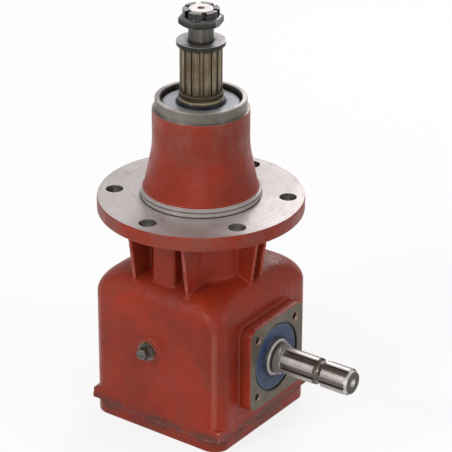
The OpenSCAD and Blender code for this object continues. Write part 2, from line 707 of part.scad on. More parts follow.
// One straight bevel tooth. Its flanks are spherical involutes and every edge runs to the cone's tip.
// Each level of the flank gives a pair of points, left and right, at the inner and the outer end.
module bevel_tooth(teeth, pitch_angle) {
    base = asin(sin(pitch_angle) * cos(pressure_angle));
    tip = pitch_angle + tip_angle;
    root = pitch_angle - root_angle;
    half = 90 / teeth - backlash / 4 / (cone_len * sin(pitch_angle)) * 180 / PI;
    foot = root - 1.5;
    start = max(base, foot);
    steps = 5;
    levels = [each start > foot + 0.01 ? [foot] : [],
        for (i = [0:steps]) start + (tip - start) * i / steps];
    n = len(levels);
    pts = [for (dist = [inner_len, cone_len], side = [1, -1], g = levels)
        let (a = side * (half + involute(base, pitch_angle) - involute(base, g)))
            dist * [sin(g) * cos(a), sin(g) * sin(a), cos(g)]];
    // Rows of points: 0 inner left, 1 inner right, 2 outer left, 3 outer right
    faces = concat(
        [for (i = [0:n - 2]) [i, n + i, n + i + 1, i + 1]],
        [for (i = [0:n - 2]) [2 * n + i, 2 * n + i + 1, 3 * n + i + 1, 3 * n + i]],
        [for (i = [0:n - 2]) [i, i + 1, 2 * n + i + 1, 2 * n + i]],
        [for (i = [0:n - 2]) [n + i, 3 * n + i, 3 * n + i + 1, n + i + 1]],
        [[0, 2 * n, 3 * n, n], [n - 1, 2 * n - 1, 4 * n - 1, 3 * n - 1]]);
    polyhedron(points = pts, faces = faces);
}

module bevel_teeth(teeth, pitch_angle) {
    for (i = [0:teeth - 1]) rotate([0, 0, 360 * i / teeth]) bevel_tooth(teeth, pitch_angle);
}

// Round shaft end with straight splines, drawn as its section
module seat_spline(r, extra) {
    circle(r - seat_spline_deep + extra);
    intersection() {
        circle(r + extra);
        for (i = [0:seat_splines - 1]) rotate(360 * i / seat_splines)
            translate([r / 2, 0]) square([r + 4, r * 0.32 + 2 * extra], center = true);
    }
}

module gear_blank(pitch_angle, hub_r, foot, back) {
    root = pitch_angle - root_angle;
    o = (cone_len + 1) * [sin(root), cos(root)];
    i = (inner_len - 1) * [sin(root), cos(root)];
    rim = 5;
    rotate_extrude() polygon([[0, foot], [i[0] - 1, foot], i, o, [o[0], o[1] + rim],
        [hub_r + 6, o[1] + rim], [hub_r, o[1] + rim + 4], [hub_r, back], [0, back]]);
}

module input_gear() {
    foot = gear_inner_x;
    back = front_shoulder;
    color(steel) along_input() difference() {
        rotate([0, 0, 180 / input_teeth]) {
            gear_blank(input_pitch_angle, gear_seat_r + 12, foot, back);
            bevel_teeth(input_teeth, input_pitch_angle);
        }
        translate([0, 0, foot - 6]) linear_extrude(back - foot + 12) seat_spline(gear_seat_r, seat_gap);
    }
}

module output_pinion() {
    foot = pinion_foot_z - input_z;
    back = lower_back + out_width - out_cone_w - input_z;
    color(steel) translate([0, 0, input_z]) difference() {
        union() {
            gear_blank(output_pitch_angle, pinion_seat_r + 8, foot, back);
            bevel_teeth(output_teeth, output_pitch_angle);
        }
        translate([0, 0, foot - 6]) linear_extrude(back - foot + 12) seat_spline(pinion_seat_r, seat_gap);
    }
}

module pinion_nut() {
    z = pinion_foot_z - pinion_nut_h;
    color(dark_steel) difference() {
        translate([0, 0, z]) cylinder(r = pinion_nut_r, h = pinion_nut_h);
        translate([0, 0, z - eps]) cylinder(r = pinion_thread_r + seat_gap, h = pinion_nut_h + 2 * eps);
        for (a = [0:90:270]) rotate([0, 0, a])
            translate([pinion_nut_r - 4, -3.5, z - eps]) cube([8, 7, pinion_nut_h - 4]);
    }
}

// Section of the output spline
module output_spline_section() {
    root_r = spline_r - spline_deep;
    pitch_w = 2 * PI * spline_r / spline_teeth;
    intersection() {
        circle(spline_r);
        union() {
            circle(root_r);
            for (i = [0:spline_teeth - 1]) rotate(spline_turn + 360 * i / spline_teeth)
                polygon([[root_r - 1.5, -pitch_w * 0.33], [spline_r + 1, -pitch_w * 0.2],
                    [spline_r + 1, pitch_w * 0.2], [root_r - 1.5, pitch_w * 0.33]]);
        }
    }
}

module output_shaft() {
    cone_foot = lower_back + out_width - out_cone_w;
    stud_chamfer = 1.2;
    color(steel) difference() {
        union() {
            // Turned part from the thread in the box to the foot of the spline
            rotate_extrude() polygon([[0, shaft_foot_z], [pinion_thread_r - 1, shaft_foot_z],
                [pinion_thread_r, shaft_foot_z + 1], [pinion_thread_r, pinion_foot_z],
                [pinion_seat_r - seat_spline_deep, pinion_foot_z], [pinion_seat_r - seat_spline_deep, cone_foot],
                [out_bore_r - 0.5, cone_foot], [out_bore_r, cone_foot + 0.5], [out_bore_r, lower_shoulder],
                [barrel_r, lower_shoulder], [barrel_r, upper_shoulder], [out_bore_r, upper_shoulder],
                [out_bore_r, spline_foot_z - 2], [spline_r - spline_deep, spline_foot_z + 1],
                [spline_r - spline_deep, spline_top_z], [stud_r, spline_top_z], [stud_r, stud_end_z - stud_chamfer],
                [stud_r - stud_chamfer, stud_end_z], [0, stud_end_z]]);
            translate([0, 0, pinion_foot_z]) linear_extrude(cone_foot - pinion_foot_z) seat_spline(pinion_seat_r, 0);
            intersection() {
                translate([0, 0, spline_foot_z - 4]) linear_extrude(spline_top_z - spline_foot_z + 4)
                    output_spline_section();
                rotate_extrude() polygon([[0, spline_foot_z - 4], [spline_r + 2, spline_foot_z - 4],
                    [spline_r + 2, spline_top_z - 4], [spline_r - spline_deep + 0.5, spline_top_z], [0, spline_top_z]]);
            }
        }
        translate([0, 0, stud_end_z - 7]) cylinder(r1 = 0.5, r2 = 4.5, h = 7.01);
        // Cross hole for the split pin, in line with two slots of the nut
        translate([0, 0, nut_z + nut_hex_h + nut_crown_h / 2]) rotate([0, 0, nut_turn]) rotate([0, 90, 0])
            cylinder(r = 2.6, h = 60, center = true);
    }
}

module end_washer() color(machined) difference() {
    translate([0, 0, spline_top_z]) cylinder(r = washer_r, h = washer_t);
    translate([0, 0, spline_top_z - eps]) cylinder(r = stud_r + 0.4, h = washer_t + 2 * eps);
}

module castle_nut() {
    crown_z = nut_z + nut_hex_h;
    top_z = crown_z + nut_crown_h;
    corner = nut_flats / sqrt(3);
    color(dark_steel) difference() {
        union() {
            intersection() {
                translate([0, 0, nut_z]) rotate([0, 0, nut_turn - 30]) cylinder(r = corner, h = nut_hex_h, $fn = 6);
                rotate_extrude() polygon([[0, nut_z], [nut_flats / 2 - 0.5, nut_z], [corner + 0.1, nut_z + 2],
                    [corner + 0.1, crown_z - 2.4], [nut_crown_r, crown_z], [0, crown_z]]);
            }
            translate([0, 0, crown_z - eps]) cylinder(r = nut_crown_r, h = nut_crown_h + eps - 1);
            translate([0, 0, top_z - 1]) cylinder(r1 = nut_crown_r, r2 = nut_crown_r - 1, h = 1);
        }
        translate([0, 0, nut_z - eps]) cylinder(r = stud_r + seat_gap, h = nut_hex_h + nut_crown_h + 2 * eps);
        translate([0, 0, nut_z - eps]) cylinder(r1 = stud_r + 2, r2 = stud_r, h = 2 + eps);
        for (i = [0:5]) rotate([0, 0, nut_turn + 60 * i])
            translate([0, -nut_slot_w / 2, crown_z + 0.5]) cube([nut_crown_r + 6, nut_slot_w, nut_crown_h + 1]);
    }
}

// Section of the six-tooth input spline
module input_spline_section() {
    intersection() {
        circle(input_spline_r);
        union() {
            circle(input_spline_r - input_spline_deep);
            for (i = [0:5]) rotate(input_spline_turn + 60 * i)
                translate([input_spline_r / 2, 0]) square([input_spline_r + 4, input_tooth_w], center = true);
        }
    }
}

module input_shaft() {
    foot = rear_back + rear_width - rear_cone_w;
    spline_x = input_end - input_spline_len;
    collar_x = front_seal_x + 6;
    ring_r = input_spline_r + 2.5;
    core = input_spline_r - input_spline_deep;
    groove_deep = 3.2;
    chamfer_r = 3.4;
    color(steel) along_input() difference() {
        union() {
            // Turned part from the rear bearing to the foot of the spline
            rotate_extrude() polygon([[0, foot + 0.5], [rear_bore_r - 1, foot + 0.5], [rear_bore_r, foot + 1.5],
                [rear_bore_r, rear_shoulder], [input_journal_r, rear_shoulder],
                [input_journal_r, gear_inner_x - 12], [gear_collar_r, gear_inner_x - 10],
                [gear_collar_r, gear_inner_x], [gear_seat_r - seat_spline_deep, gear_inner_x],
                [gear_seat_r - seat_spline_deep, front_shoulder], [front_bore_r, front_shoulder],
                [front_bore_r, front_back - 1], [input_journal_r, front_back],
                [input_journal_r, collar_x - 2], [input_journal_r - 1.6, collar_x],
                [ring_r - 1, collar_x], [ring_r - 1, collar_x + 2.3],
                [ring_r, collar_x + 2.6], [ring_r, collar_x + 6],
                [ring_r - 1.2, collar_x + 7.2], [input_spline_r, collar_x + 8.2],
                [input_spline_r, spline_x], [core, spline_x + 5], [core, input_end - 2], [core - 1.4, input_end], [0, input_end]]);
            translate([0, 0, gear_inner_x]) linear_extrude(front_shoulder - gear_inner_x) seat_spline(gear_seat_r, 0);
            intersection() {
                translate([0, 0, spline_x - 1]) linear_extrude(input_spline_len + 1) input_spline_section();
                rotate_extrude() polygon([[0, spline_x - 1], [input_spline_r + 1, spline_x - 1],
                    [input_spline_r + 1, input_end - 6], [input_spline_r, input_end - 5],
                    [input_spline_r - chamfer_r, input_end], [0, input_end]]);
            }
        }
        // Round-bottomed groove that the coupling's pin locks into
        rotate_extrude() translate([input_spline_r + 6.9 - groove_deep, input_end - lock_groove_x]) circle(6.9);
        translate([0, 0, input_end - 7]) cylinder(r1 = 0.5, r2 = 5, h = 7.01);
        translate([0, 0, input_end - 16]) cylinder(r = 2.2, h = 12);
    }
}

housing();
cover();
cover_gasket();
cover_screws();
level_plug();
level_plug_washer();
fill_plug();
fill_plug_washer();
rear_cap();
rear_cap_gasket();
rear_cap_screws();
input_seal();
output_seal();
front_ring();
lower_ring();
upper_ring();
front_cup();
rear_cup();
lower_cup();
upper_cup();
input_shaft();
input_gear();
front_cone();
rear_cone();
output_shaft();
output_pinion();
pinion_nut();
lower_cone();
upper_cone();
end_washer();
castle_nut();
front_rollers();
rear_rollers();
lower_rollers();
upper_rollers();
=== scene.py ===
# %% [markdown]
# # A right-angle gearbox, dressed in Blender
#
# The object is the bevel gearbox of a rotary cutter. It stands on its cover with the output shaft up.
# Its solids were drawn in CAD and packed, and this lesson gives them the look of the real thing:
# sand-cast iron under thick red paint, faces that a lathe or a mill has cut bare, oily steel shafts,
# a blue rubber seal and a dark castle nut.
#
# The first cell loads the imported model. Its pieces stay exactly where the CAD put them, in metres.
# The looks may not change the size.

# %% Load the imported model
import math

import bpy
from mathutils import Matrix, Vector


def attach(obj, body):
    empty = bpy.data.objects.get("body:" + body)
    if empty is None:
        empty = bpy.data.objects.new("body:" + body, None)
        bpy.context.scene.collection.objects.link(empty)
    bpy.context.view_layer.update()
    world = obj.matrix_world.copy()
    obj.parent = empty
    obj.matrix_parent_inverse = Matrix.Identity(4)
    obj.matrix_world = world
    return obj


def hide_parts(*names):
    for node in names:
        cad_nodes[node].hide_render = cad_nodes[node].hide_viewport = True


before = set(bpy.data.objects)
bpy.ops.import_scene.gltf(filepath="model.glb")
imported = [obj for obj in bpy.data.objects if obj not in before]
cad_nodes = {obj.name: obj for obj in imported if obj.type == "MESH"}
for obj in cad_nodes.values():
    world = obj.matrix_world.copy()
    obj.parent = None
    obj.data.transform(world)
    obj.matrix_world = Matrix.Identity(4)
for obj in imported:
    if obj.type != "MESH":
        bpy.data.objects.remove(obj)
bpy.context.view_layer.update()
MM = 0.001

# %% [markdown]
# ## Colours as they are written
#
# The Standard view transform shows a colour as it is written, so a finish that is right here
# stays right under other lights.

# %% View settings
scene = bpy.context.scene
scene.view_settings.view_transform = "Standard"
print("view transform:", scene.view_settings.view_transform)

# %% [markdown]
# ## The camera
#
# The photo was taken with a long lens from the front right and about 26 degrees above. The angles,
# the distance and the lens below come from fitting the flange's ellipse, the shafts and the box's
# corners. The camera looks along the line back to the target, and a tiny roll levels the picture.

# %% Camera at the photo's viewpoint
TURN, LIFT, ROLL = math.radians(35.746), math.radians(25.604), math.radians(-0.321)
TARGET = Vector((0.0, 0.0, 0.23))
AIM_RIGHT, AIM_UP, DISTANCE = -0.031113, -0.018596, 2.770203
PHOTO_WIDTH = 452
FOCAL_PIXELS = 2216.614
back = Vector((math.sin(TURN) * math.cos(LIFT), -math.cos(TURN) * math.cos(LIFT), math.sin(LIFT)))
level_right = Vector((math.cos(TURN), math.sin(TURN), 0.0))
level_up = back.cross(level_right)
right = math.cos(ROLL) * level_right - math.sin(ROLL) * level_up
up = math.sin(ROLL) * level_right + math.cos(ROLL) * level_up
lens_place = TARGET - AIM_RIGHT * level_right - AIM_UP * level_up + DISTANCE * back
camera_data = bpy.data.cameras.new("photo_camera")
camera_data.sensor_width = 36.0
camera_data.lens = FOCAL_PIXELS / PHOTO_WIDTH * camera_data.sensor_width
camera = bpy.data.objects.new("photo_camera", camera_data)
scene.collection.objects.link(camera)
camera.matrix_world = Matrix((right, up, back)).transposed().to_4x4()
camera.location = lens_place
scene.camera = camera
print("camera at", [round(v, 3) for v in lens_place], "lens", round(camera_data.lens, 2))

# %% [markdown]
# ## Adding and joining nodes
#
# Every finish is a node tree. These helpers add a node, set its sockets and join it up in one line,
# so that each finish below reads as a recipe. All patterns are placed by object coordinates, in metres,
# so their grain has a true size.

# %% Node helpers


def add(tree, kind, inputs=None, **settings):
    """Adds one node, sets its properties, and fills or links its input sockets."""
    node = tree.nodes.new("ShaderNode" + kind)
    for name, value in settings.items():
        setattr(node, name, value)
    for name, value in (inputs or {}).items():
        if isinstance(value, bpy.types.NodeSocket):
            tree.links.new(value, node.inputs[name])
        else:
            node.inputs[name].default_value = value
    return node


def maths(tree, operation, a, b=0.0):
    return add(tree, "Math", {0: a, 1: b}, operation=operation).outputs[0]


def both(tree, first, second):
    """Where two masks meet, or a mask at a share of its strength."""
    return maths(tree, "MULTIPLY", first, second)


def new_finish(name, metallic, specular=0.5):
    """A material: returns it, its tree and where a point of the surface lies, in metres."""
    material = bpy.data.materials.new(name)
    material.use_nodes = True
    tree = material.node_tree
    shader = tree.nodes["Principled BSDF"]
    shader.inputs["Metallic"].default_value = metallic
    shader.inputs["Specular IOR Level"].default_value = specular
    return material, tree, add(tree, "TexCoord").outputs["Object"]


def dressed(material, colour, roughness, normal):
    """The finished material, with its colour, its roughness and its relief on the shader."""
    shader = material.node_tree.nodes["Principled BSDF"]
    for name, value in (("Base Color", colour), ("Roughness", roughness), ("Normal", normal)):
        material.node_tree.links.new(value, shader.inputs[name])
    return material


print("helpers that add nodes are ready")

# %% [markdown]
# ## Ramps, masks and tints
#
# A ramp turns a number into a colour. Where the number is a length, the ramp can say how a turned piece
# changes along its axis or away from it, and a narrow ramp picks out one zone of it as a mask. A tint
# then lays a second colour over the first one where the mask is.

# %% Ramp helpers


def stops(tree, factor, *colours):
    """A colour ramp, given as pairs of a place and a colour or a grey."""
    node = add(tree, "ValToRGB", {"Fac": factor})
    ramp = node.color_ramp
    while len(ramp.elements) < len(colours):
        ramp.elements.new(0.5)
    for element, (position, colour) in zip(ramp.elements, colours):
        element.position = position
        if isinstance(colour, (int, float)):
            colour = (colour, colour, colour)
        element.color = (*colour, 1.0)
    return node.outputs["Color"]


def bands(tree, length, *colours):
    """A ramp on a length. It takes pairs of millimetres and a colour, from the lowest up."""
    low, high = colours[0][0], colours[-1][0]
    share = add(tree, "MapRange", {"Value": length, "From Min": low * MM, "From Max": high * MM})
    places = [((mm - low) / (high - low), colour) for mm, colour in colours]
    return stops(tree, share.outputs["Result"], *places)


def window(tree, length, low, high, soft=0.2):
    """1 between two lengths in millimetres and 0 outside them."""
    return bands(tree, length, (low - soft, 0.0), (low, 1.0), (high, 1.0), (high + soft, 0.0))


def blend(tree, factor, first, second, kind="MIX"):
    node = add(tree, "Mix", data_type="RGBA", blend_type=kind)
    for index, value in ((0, factor), (6, first), (7, second)):
        if isinstance(value, bpy.types.NodeSocket):
            tree.links.new(value, node.inputs[index])
        elif index == 0:
            node.inputs[index].default_value = value
        else:
            node.inputs[index].default_value = (*value, 1.0)
    return node.outputs[2]


def tint(tree, colour, mask, share, second):
    """Lays a second colour over the first where the mask is, up to this share."""
    return blend(tree, both(tree, mask, share), colour, second)


print("helpers for ramps and tints are ready")

# %% [markdown]
# ## Patterns of use
#
# Nothing on a used machine has one even colour. Soft noise gives clouds of oil and dust, noise drawn out
# along an axis gives the streaks of polishing, and the tips of a fine noise give specks and pits.
# The roughness varies in the same way, so that the gloss isn't even either.

# %% Pattern helpers


def speckle(tree, point, scale, detail=3.0):
    """A soft random pattern with about this many spots to the metre."""
    inputs = {"Vector": point, "Scale": scale, "Detail": detail, "Roughness": 0.55}
    return add(tree, "TexNoise", inputs).outputs["Fac"]


def spots(tree, point, scale, low, high, detail=1.0):
    """A mask of the tips of a pattern, from its value low to its value high."""
    return stops(tree, speckle(tree, point, scale, detail), (low, 0.0), (high, 1.0))


def streaks(tree, point, axis, across=700.0, along=25.0):
    """A random pattern drawn out along an axis, as polishing or a broach leaves it."""
    stretch = [across, across, across]
    stretch["XYZ".index(axis)] = along
    drawn = add(tree, "VectorMath", {0: point, 1: stretch}, operation="MULTIPLY").outputs[0]
    return speckle(tree, drawn, 1.0, 2.0)


def stain(tree, point, colour, amount, stain_colour, scale=38.0, low=0.48, high=0.72):
    """Clouds of another colour over a surface, such as oil, dust or rust."""
    return tint(tree, colour, spots(tree, point, scale, low, high, 4.0), amount, stain_colour)


def gloss(tree, point, scale, smooth, rough):
    """A roughness that wanders between two values."""
    return stops(tree, speckle(tree, point, scale), (0.3, smooth), (0.7, rough))


print("helpers for patterns are ready")

# %% [markdown]
# ## Turned places, soft edges and relief
#
# A lathe works round an axis, so its marks need two lengths: the distance from the axis and the distance
# along it. The output parts turn about the upright axis, and the input parts about a level one 103.5 mm
# above the ground. A bevel node rounds the shading of sharp edges, and tells where it did, so that
# edges can be brighter, partly as worn metal and partly as a painted sheen. Relief comes from a bump node
# with a true depth in metres.

# %% Surface helpers
INPUT_HEIGHT = 0.1035
EDGE = 0.5 * MM


def lathe_place(tree, point, axis):
    """The distance from the axis of turning and the distance along it, in metres."""
    centre = (0.0, 0.0, INPUT_HEIGHT) if axis == "X" else (0.0, 0.0, 0.0)
    moved = add(tree, "VectorMath", {0: point, 1: centre}, operation="SUBTRACT").outputs[0]
    flat = (0.0, 1.0, 1.0) if axis == "X" else (1.0, 1.0, 0.0)
    across = add(tree, "VectorMath", {0: moved, 1: flat}, operation="MULTIPLY").outputs[0]
    radius = add(tree, "VectorMath", {0: across}, operation="LENGTH").outputs["Value"]
    along = add(tree, "SeparateXYZ", {0: moved}).outputs[axis]
    return radius, along


def soft_edge(tree, radius=EDGE):
    """A normal that rounds sharp edges off, and a mask of where it did."""
    round_normal = add(tree, "Bevel", {"Radius": radius}, samples=6).outputs["Normal"]
    flat = add(tree, "NewGeometry").outputs["Normal"]
    same = add(tree, "VectorMath", {0: round_normal, 1: flat}, operation="DOT_PRODUCT")
    return round_normal, stops(tree, same.outputs["Value"], (0.8, 1.0), (0.985, 0.0))


def raised(tree, height, depth, normal=None):
    """Turns a pattern into relief of about this depth in metres."""
    inputs = {"Height": height, "Strength": 1.0, "Distance": depth}
    if normal is not None:
        inputs["Normal"] = normal
    return add(tree, "Bump", inputs).outputs["Normal"]


print("edges are rounded by", EDGE / MM, "mm")

# %% [markdown]
# ## The floor
#
# The photo has a plain white background. The floor is white to the camera and keeps a soft shadow:
# most of what the camera sees of it is its own white, and the rest is lit like any pale floor.
# Metal has to show that white too, so rays that come from a reflection count as the camera's.

# %% Floor
FLOOR_HALF = 30.0
OWN_WHITE = 0.8


def background_seen(tree):
    """1 for the rays that show the background itself: to the camera, in metal and through glass."""
    rays = add(tree, "LightPath").outputs
    seen = maths(tree, "MAXIMUM", rays["Is Camera Ray"], rays["Is Glossy Ray"])
    return maths(tree, "MAXIMUM", seen, rays["Is Transmission Ray"])


def floor_finish():
    material = bpy.data.materials.new("pale_floor")
    material.use_nodes = True
    tree = material.node_tree
    pale = add(tree, "BsdfDiffuse", {"Color": (0.82, 0.82, 0.82, 1.0)})
    white = add(tree, "Emission", {"Color": (1.0, 1.0, 1.0, 1.0), "Strength": 1.0})
    share = both(tree, background_seen(tree), OWN_WHITE)
    mix = add(tree, "MixShader", {0: share, 1: pale.outputs[0], 2: white.outputs[0]})
    tree.links.new(mix.outputs[0], tree.nodes["Material Output"].inputs["Surface"])
    return material


floor_mesh = bpy.data.meshes.new("floor")
floor_corners = [(x * FLOOR_HALF, y * FLOOR_HALF, 0) for x, y in ((-1, -1), (1, -1), (1, 1), (-1, 1))]
floor_mesh.from_pydata(floor_corners, [], [(0, 1, 2, 3)])
floor_mesh.materials.append(floor_finish())
floor = bpy.data.objects.new("floor", floor_mesh)
scene.collection.objects.link(floor)
print("floor of", 2 * FLOOR_HALF, "m")

# %% [markdown]
# ## World and lamps
#
# The world is white to the camera and dimmer as a light. Four soft lamps do the rest. The strongest
# stands left of the camera and above it, as the photo's highlights show. The one behind edges the part
# with light and serves the views from there, and the two in front on the right and at the side are weaker
# and keep the shadows open.

# %% World and lamps
AMBIENT = 0.6
MIDDLE = Vector((0.0, 0.0, 0.28))


def lamp(name, place_at, size, watts):
    """A round soft lamp that looks at the middle of the gearbox."""
    data = bpy.data.lights.new(name, "AREA")
    data.shape = "DISK"
    data.size = size
    data.energy = watts
    light = bpy.data.objects.new(name, data)
    scene.collection.objects.link(light)
    light.location = place_at
    light.rotation_euler = (MIDDLE - Vector(place_at)).to_track_quat("-Z", "Y").to_euler()


world = bpy.data.worlds.new("studio")
scene.world = world
world.use_nodes = True
sky, sky_tree = world.node_tree.nodes["Background"], world.node_tree
strength = maths(sky_tree, "MULTIPLY_ADD", background_seen(sky_tree), 1.0 - AMBIENT)
strength.node.inputs[2].default_value = AMBIENT
sky_tree.links.new(strength, sky.inputs["Strength"])
sky.inputs["Color"].default_value = (1.0, 1.0, 1.0, 1.0)

lamp("key", (-0.5, -2.1, 1.5), 0.55, 22.0)
lamp("front", (1.3, -2.2, 0.7), 1.2, 12.0)
lamp("side", (2.0, 0.3, 1.2), 1.0, 9.0)
lamp("behind", (-0.6, 1.7, 1.6), 0.9, 18.0)

# %% [markdown]
# ## Sizes that the finishes and the cutters share
#
# The heights and radii below are the CAD's own, in millimetres. The finishes need them to know where
# a machined face starts, and later the cutters need them to cut it there.

# %% Heights and radii
BASE, FLANGE_UNDER, FLANGE_TOP, SPIGOT_TOP = 18.0, 277.0, 296.0, 305.0
SPIGOT, FLANGE, BOLT_CIRCLE, BOLT_HOLE = 75.0, 129.0, 108.0, 11.0
BAND_FOOT, HUB_TOP, HUB, HUB_BORE = 410.5, 425.0, 56.5, 50.0
WASHER_FOOT, STUD_TOP, SHAFT_END = 493.0, 538.6, 230.5
ABOVE_ALL = 560.0
print("flange", FLANGE_TOP, "mm high, hub", HUB_TOP, "mm high")

# %% [markdown]
# ## Red paint: the coat
#
# The casting is rough from its sand mould and then sprayed with one thick coat of orange-red enamel.
# Sprayed paint has slow patches of thicker and thinner colour, and the sand shows through as a fine
# grain. A picture of paint would repeat and carry its own light, so the coat is made of noise.

# %% Paint coat
material, tree, point = new_finish("red_paint", 0.0, 0.17)
colour = stops(tree, speckle(tree, point, 11.0, 4.0), (0.3, (0.165, 0.0185, 0.0085)),
               (0.5, (0.235, 0.023, 0.009)), (0.72, (0.31, 0.027, 0.009)))
grain = speckle(tree, point, 420.0, 2.0)
sand = stops(tree, grain, (0.3, 0.35), (0.7, 1.0))
colour = blend(tree, 0.2, colour, sand, "MULTIPLY")
colour = stain(tree, point, colour, 0.4, (0.12, 0.042, 0.028), 20.0, 0.56, 0.74)
print("nodes for the coat:", len(tree.nodes))

# %% [markdown]
# ## Red paint: dirt
#
# Oil and dust run down the sides, sit in the joint over the cover and darken the flange's rim, and the
# paint grows darker towards the bottom. Each place is a mask on a height or a radius, broken up by one
# shared patchy noise, so that no mask ends in a straight line.

# %% Paint dirt
radius, height = lathe_place(tree, point, "Z")
patchy = stops(tree, speckle(tree, point, 34.0, 4.0), (0.4, 0.1), (0.62, 1.0))
drips = stops(tree, streaks(tree, point, "Z", 60.0, 9.0), (0.55, 0.0), (0.74, 1.0))
joint = both(tree, window(tree, height, 12.0, 22.0, 5.0), patchy)
low = both(tree, bands(tree, height, (0.0, 1.0), (14.0, 0.8), (34.0, 0.0)), patchy)
rim = both(tree, window(tree, radius, FLANGE - 1.5, FLANGE + 2.0, 0.5), patchy)
rim = both(tree, rim, window(tree, height, FLANGE_UNDER - 1.0, FLANGE_TOP + 2.0, 2.0))
colour = tint(tree, colour, drips, 0.22, (0.125, 0.05, 0.035))
colour = tint(tree, colour, joint, 0.65, (0.05, 0.03, 0.024))
colour = tint(tree, colour, low, 0.38, (0.085, 0.036, 0.026))
colour = tint(tree, colour, rim, 0.5, (0.15, 0.065, 0.05))
print("nodes with the dirt:", len(tree.nodes))

# %% [markdown]
# ## Red paint: wear and painted light
#
# Paint wears pale and pinkish where it sticks out, and those pale edges also carry a painted highlight.
# The mesh's pointiness finds the small edges and the hollows, and the hollows get painted shade. The four
# big upright corners are too round for it, so a painted highlight stripe down each is found by the way the
# surface faces. The top of the cone gets a greyer patch, partly smudge and partly painted sheen, and a few
# dark chips and pale flecks finish the coat.

# %% Paint wear and painted light
HIGHLIGHT_STRIPE_FACES = math.radians(32.0)
facing = add(tree, "SeparateXYZ", {0: add(tree, "NewGeometry").outputs["Normal"]}).outputs
sideways, forwards = (maths(tree, "ABSOLUTE", facing[axis]) for axis in "XY")
match = maths(tree, "ADD", both(tree, sideways, math.sin(HIGHLIGHT_STRIPE_FACES)),
              both(tree, forwards, math.cos(HIGHLIGHT_STRIPE_FACES)))
# A painted highlight stripe down each upright corner.
painted_highlight_stripe = both(tree, stops(tree, match, (0.975, 0.0), (1.0, 1.0)), window(tree, height, 24.0, 160.0, 14.0))
# A greyer patch on the cone's top: partly smudge and partly a painted sheen.
smudge_and_sheen = both(tree, window(tree, height, 376.0, 412.0, 22.0), patchy)
pointed = add(tree, "NewGeometry").outputs["Pointiness"]
# Pale edges: worn paint and a painted highlight where the gloss catches light.
edge_wear_and_sheen = both(tree, stops(tree, pointed, (0.528, 0.0), (0.565, 1.0)),
              stops(tree, speckle(tree, point, 65.0), (0.38, 0.15), (0.62, 1.0)))
# Painted shade in the hollows.
painted_crease_shade = stops(tree, pointed, (0.435, 1.0), (0.48, 0.0))
colour = tint(tree, colour, painted_highlight_stripe, 0.25, (0.4, 0.15, 0.12))
colour = tint(tree, colour, smudge_and_sheen, 0.4, (0.19, 0.085, 0.065))
colour = tint(tree, colour, edge_wear_and_sheen, 0.8, (0.58, 0.26, 0.22))
colour = tint(tree, colour, painted_crease_shade, 0.2, (0.08, 0.01, 0.006))
colour = tint(tree, colour, spots(tree, point, 260.0, 0.765, 0.785), 0.75, (0.03, 0.01, 0.008))
colour = tint(tree, colour, spots(tree, point, 640.0, 0.755, 0.775), 0.35, (0.62, 0.26, 0.2))
print("nodes with the wear:", len(tree.nodes))

# %% [markdown]
# ## Red paint: relief
#
# The relief has two sizes: slow waves of the mould and a fine sand grain. The specular level was set
# low, because a thick enamel over sand scatters most of its shine.

# %% Paint relief
waves = raised(tree, speckle(tree, point, 50.0, 2.0), 0.0012)
paint = dressed(material, colour, gloss(tree, point, 40.0, 0.24, 0.46), raised(tree, grain, 0.00045, waves))
print("all nodes of the paint:", len(paint.node_tree.nodes))

# %% [markdown]
# ## Turned and ground metal
#
# A lathe leaves fine rings round its axis, and a face that it cuts shows them as circles.
# One number does both: the distance from the axis plus the distance along it. A one-dimensional noise
# of that number makes rings on a face and bands on a cylinder. This recipe gives the plain turned pieces
# their look, and the special ones below add their own marks to it.

# %% Turned metal


def rings(tree, reach, scale, detail=2.0):
    inputs = {"W": reach, "Scale": scale, "Detail": detail}
    return add(tree, "TexNoise", inputs, noise_dimensions="1D").outputs["Fac"]


def scaled(colour, factor):
    return tuple(min(1.0, part * factor) for part in colour)


def turned_metal(name, axis, mid, spread, rough, metallic, oil, oil_colour=(0.1, 0.07, 0.05), edge=EDGE):
    """Metal with turning rings whose colour stays within a share of the middle one."""
    material, tree, point = new_finish(name, metallic)
    reach = maths(tree, "ADD", *lathe_place(tree, point, axis))
    colour = stops(tree, rings(tree, reach, 240.0), (0.3, scaled(mid, 1.0 - spread)), (0.52, mid),
                   (0.75, scaled(mid, 1.0 + spread)))
    colour = stain(tree, point, colour, oil, oil_colour)
    colour = tint(tree, colour, spots(tree, point, 700.0, 0.7, 0.74), 0.35, (0.05, 0.04, 0.035))
    round_normal, edge_wear_and_sheen = soft_edge(tree, edge)
    # Brighter edges: worn metal and a painted sheen.
    colour = tint(tree, colour, edge_wear_and_sheen, 0.6, scaled(mid, 1.9))
    groove = raised(tree, rings(tree, reach, 1600.0, 1.0), 0.00003, round_normal)
    return dressed(material, colour, gloss(tree, point, 90.0, *rough), groove)


print("recipe for turned metal ready")

# %% [markdown]
# ## The plain metals
#
# Bearings are ground bright and gears are greyer. The hidden nut, the rings and the cover screws are
# dark and oiled, the rear cap's screws are zinc plated, and the plugs sit on copper washers. The threads
# in the input pad were cut by a tap and look pinkish brown.

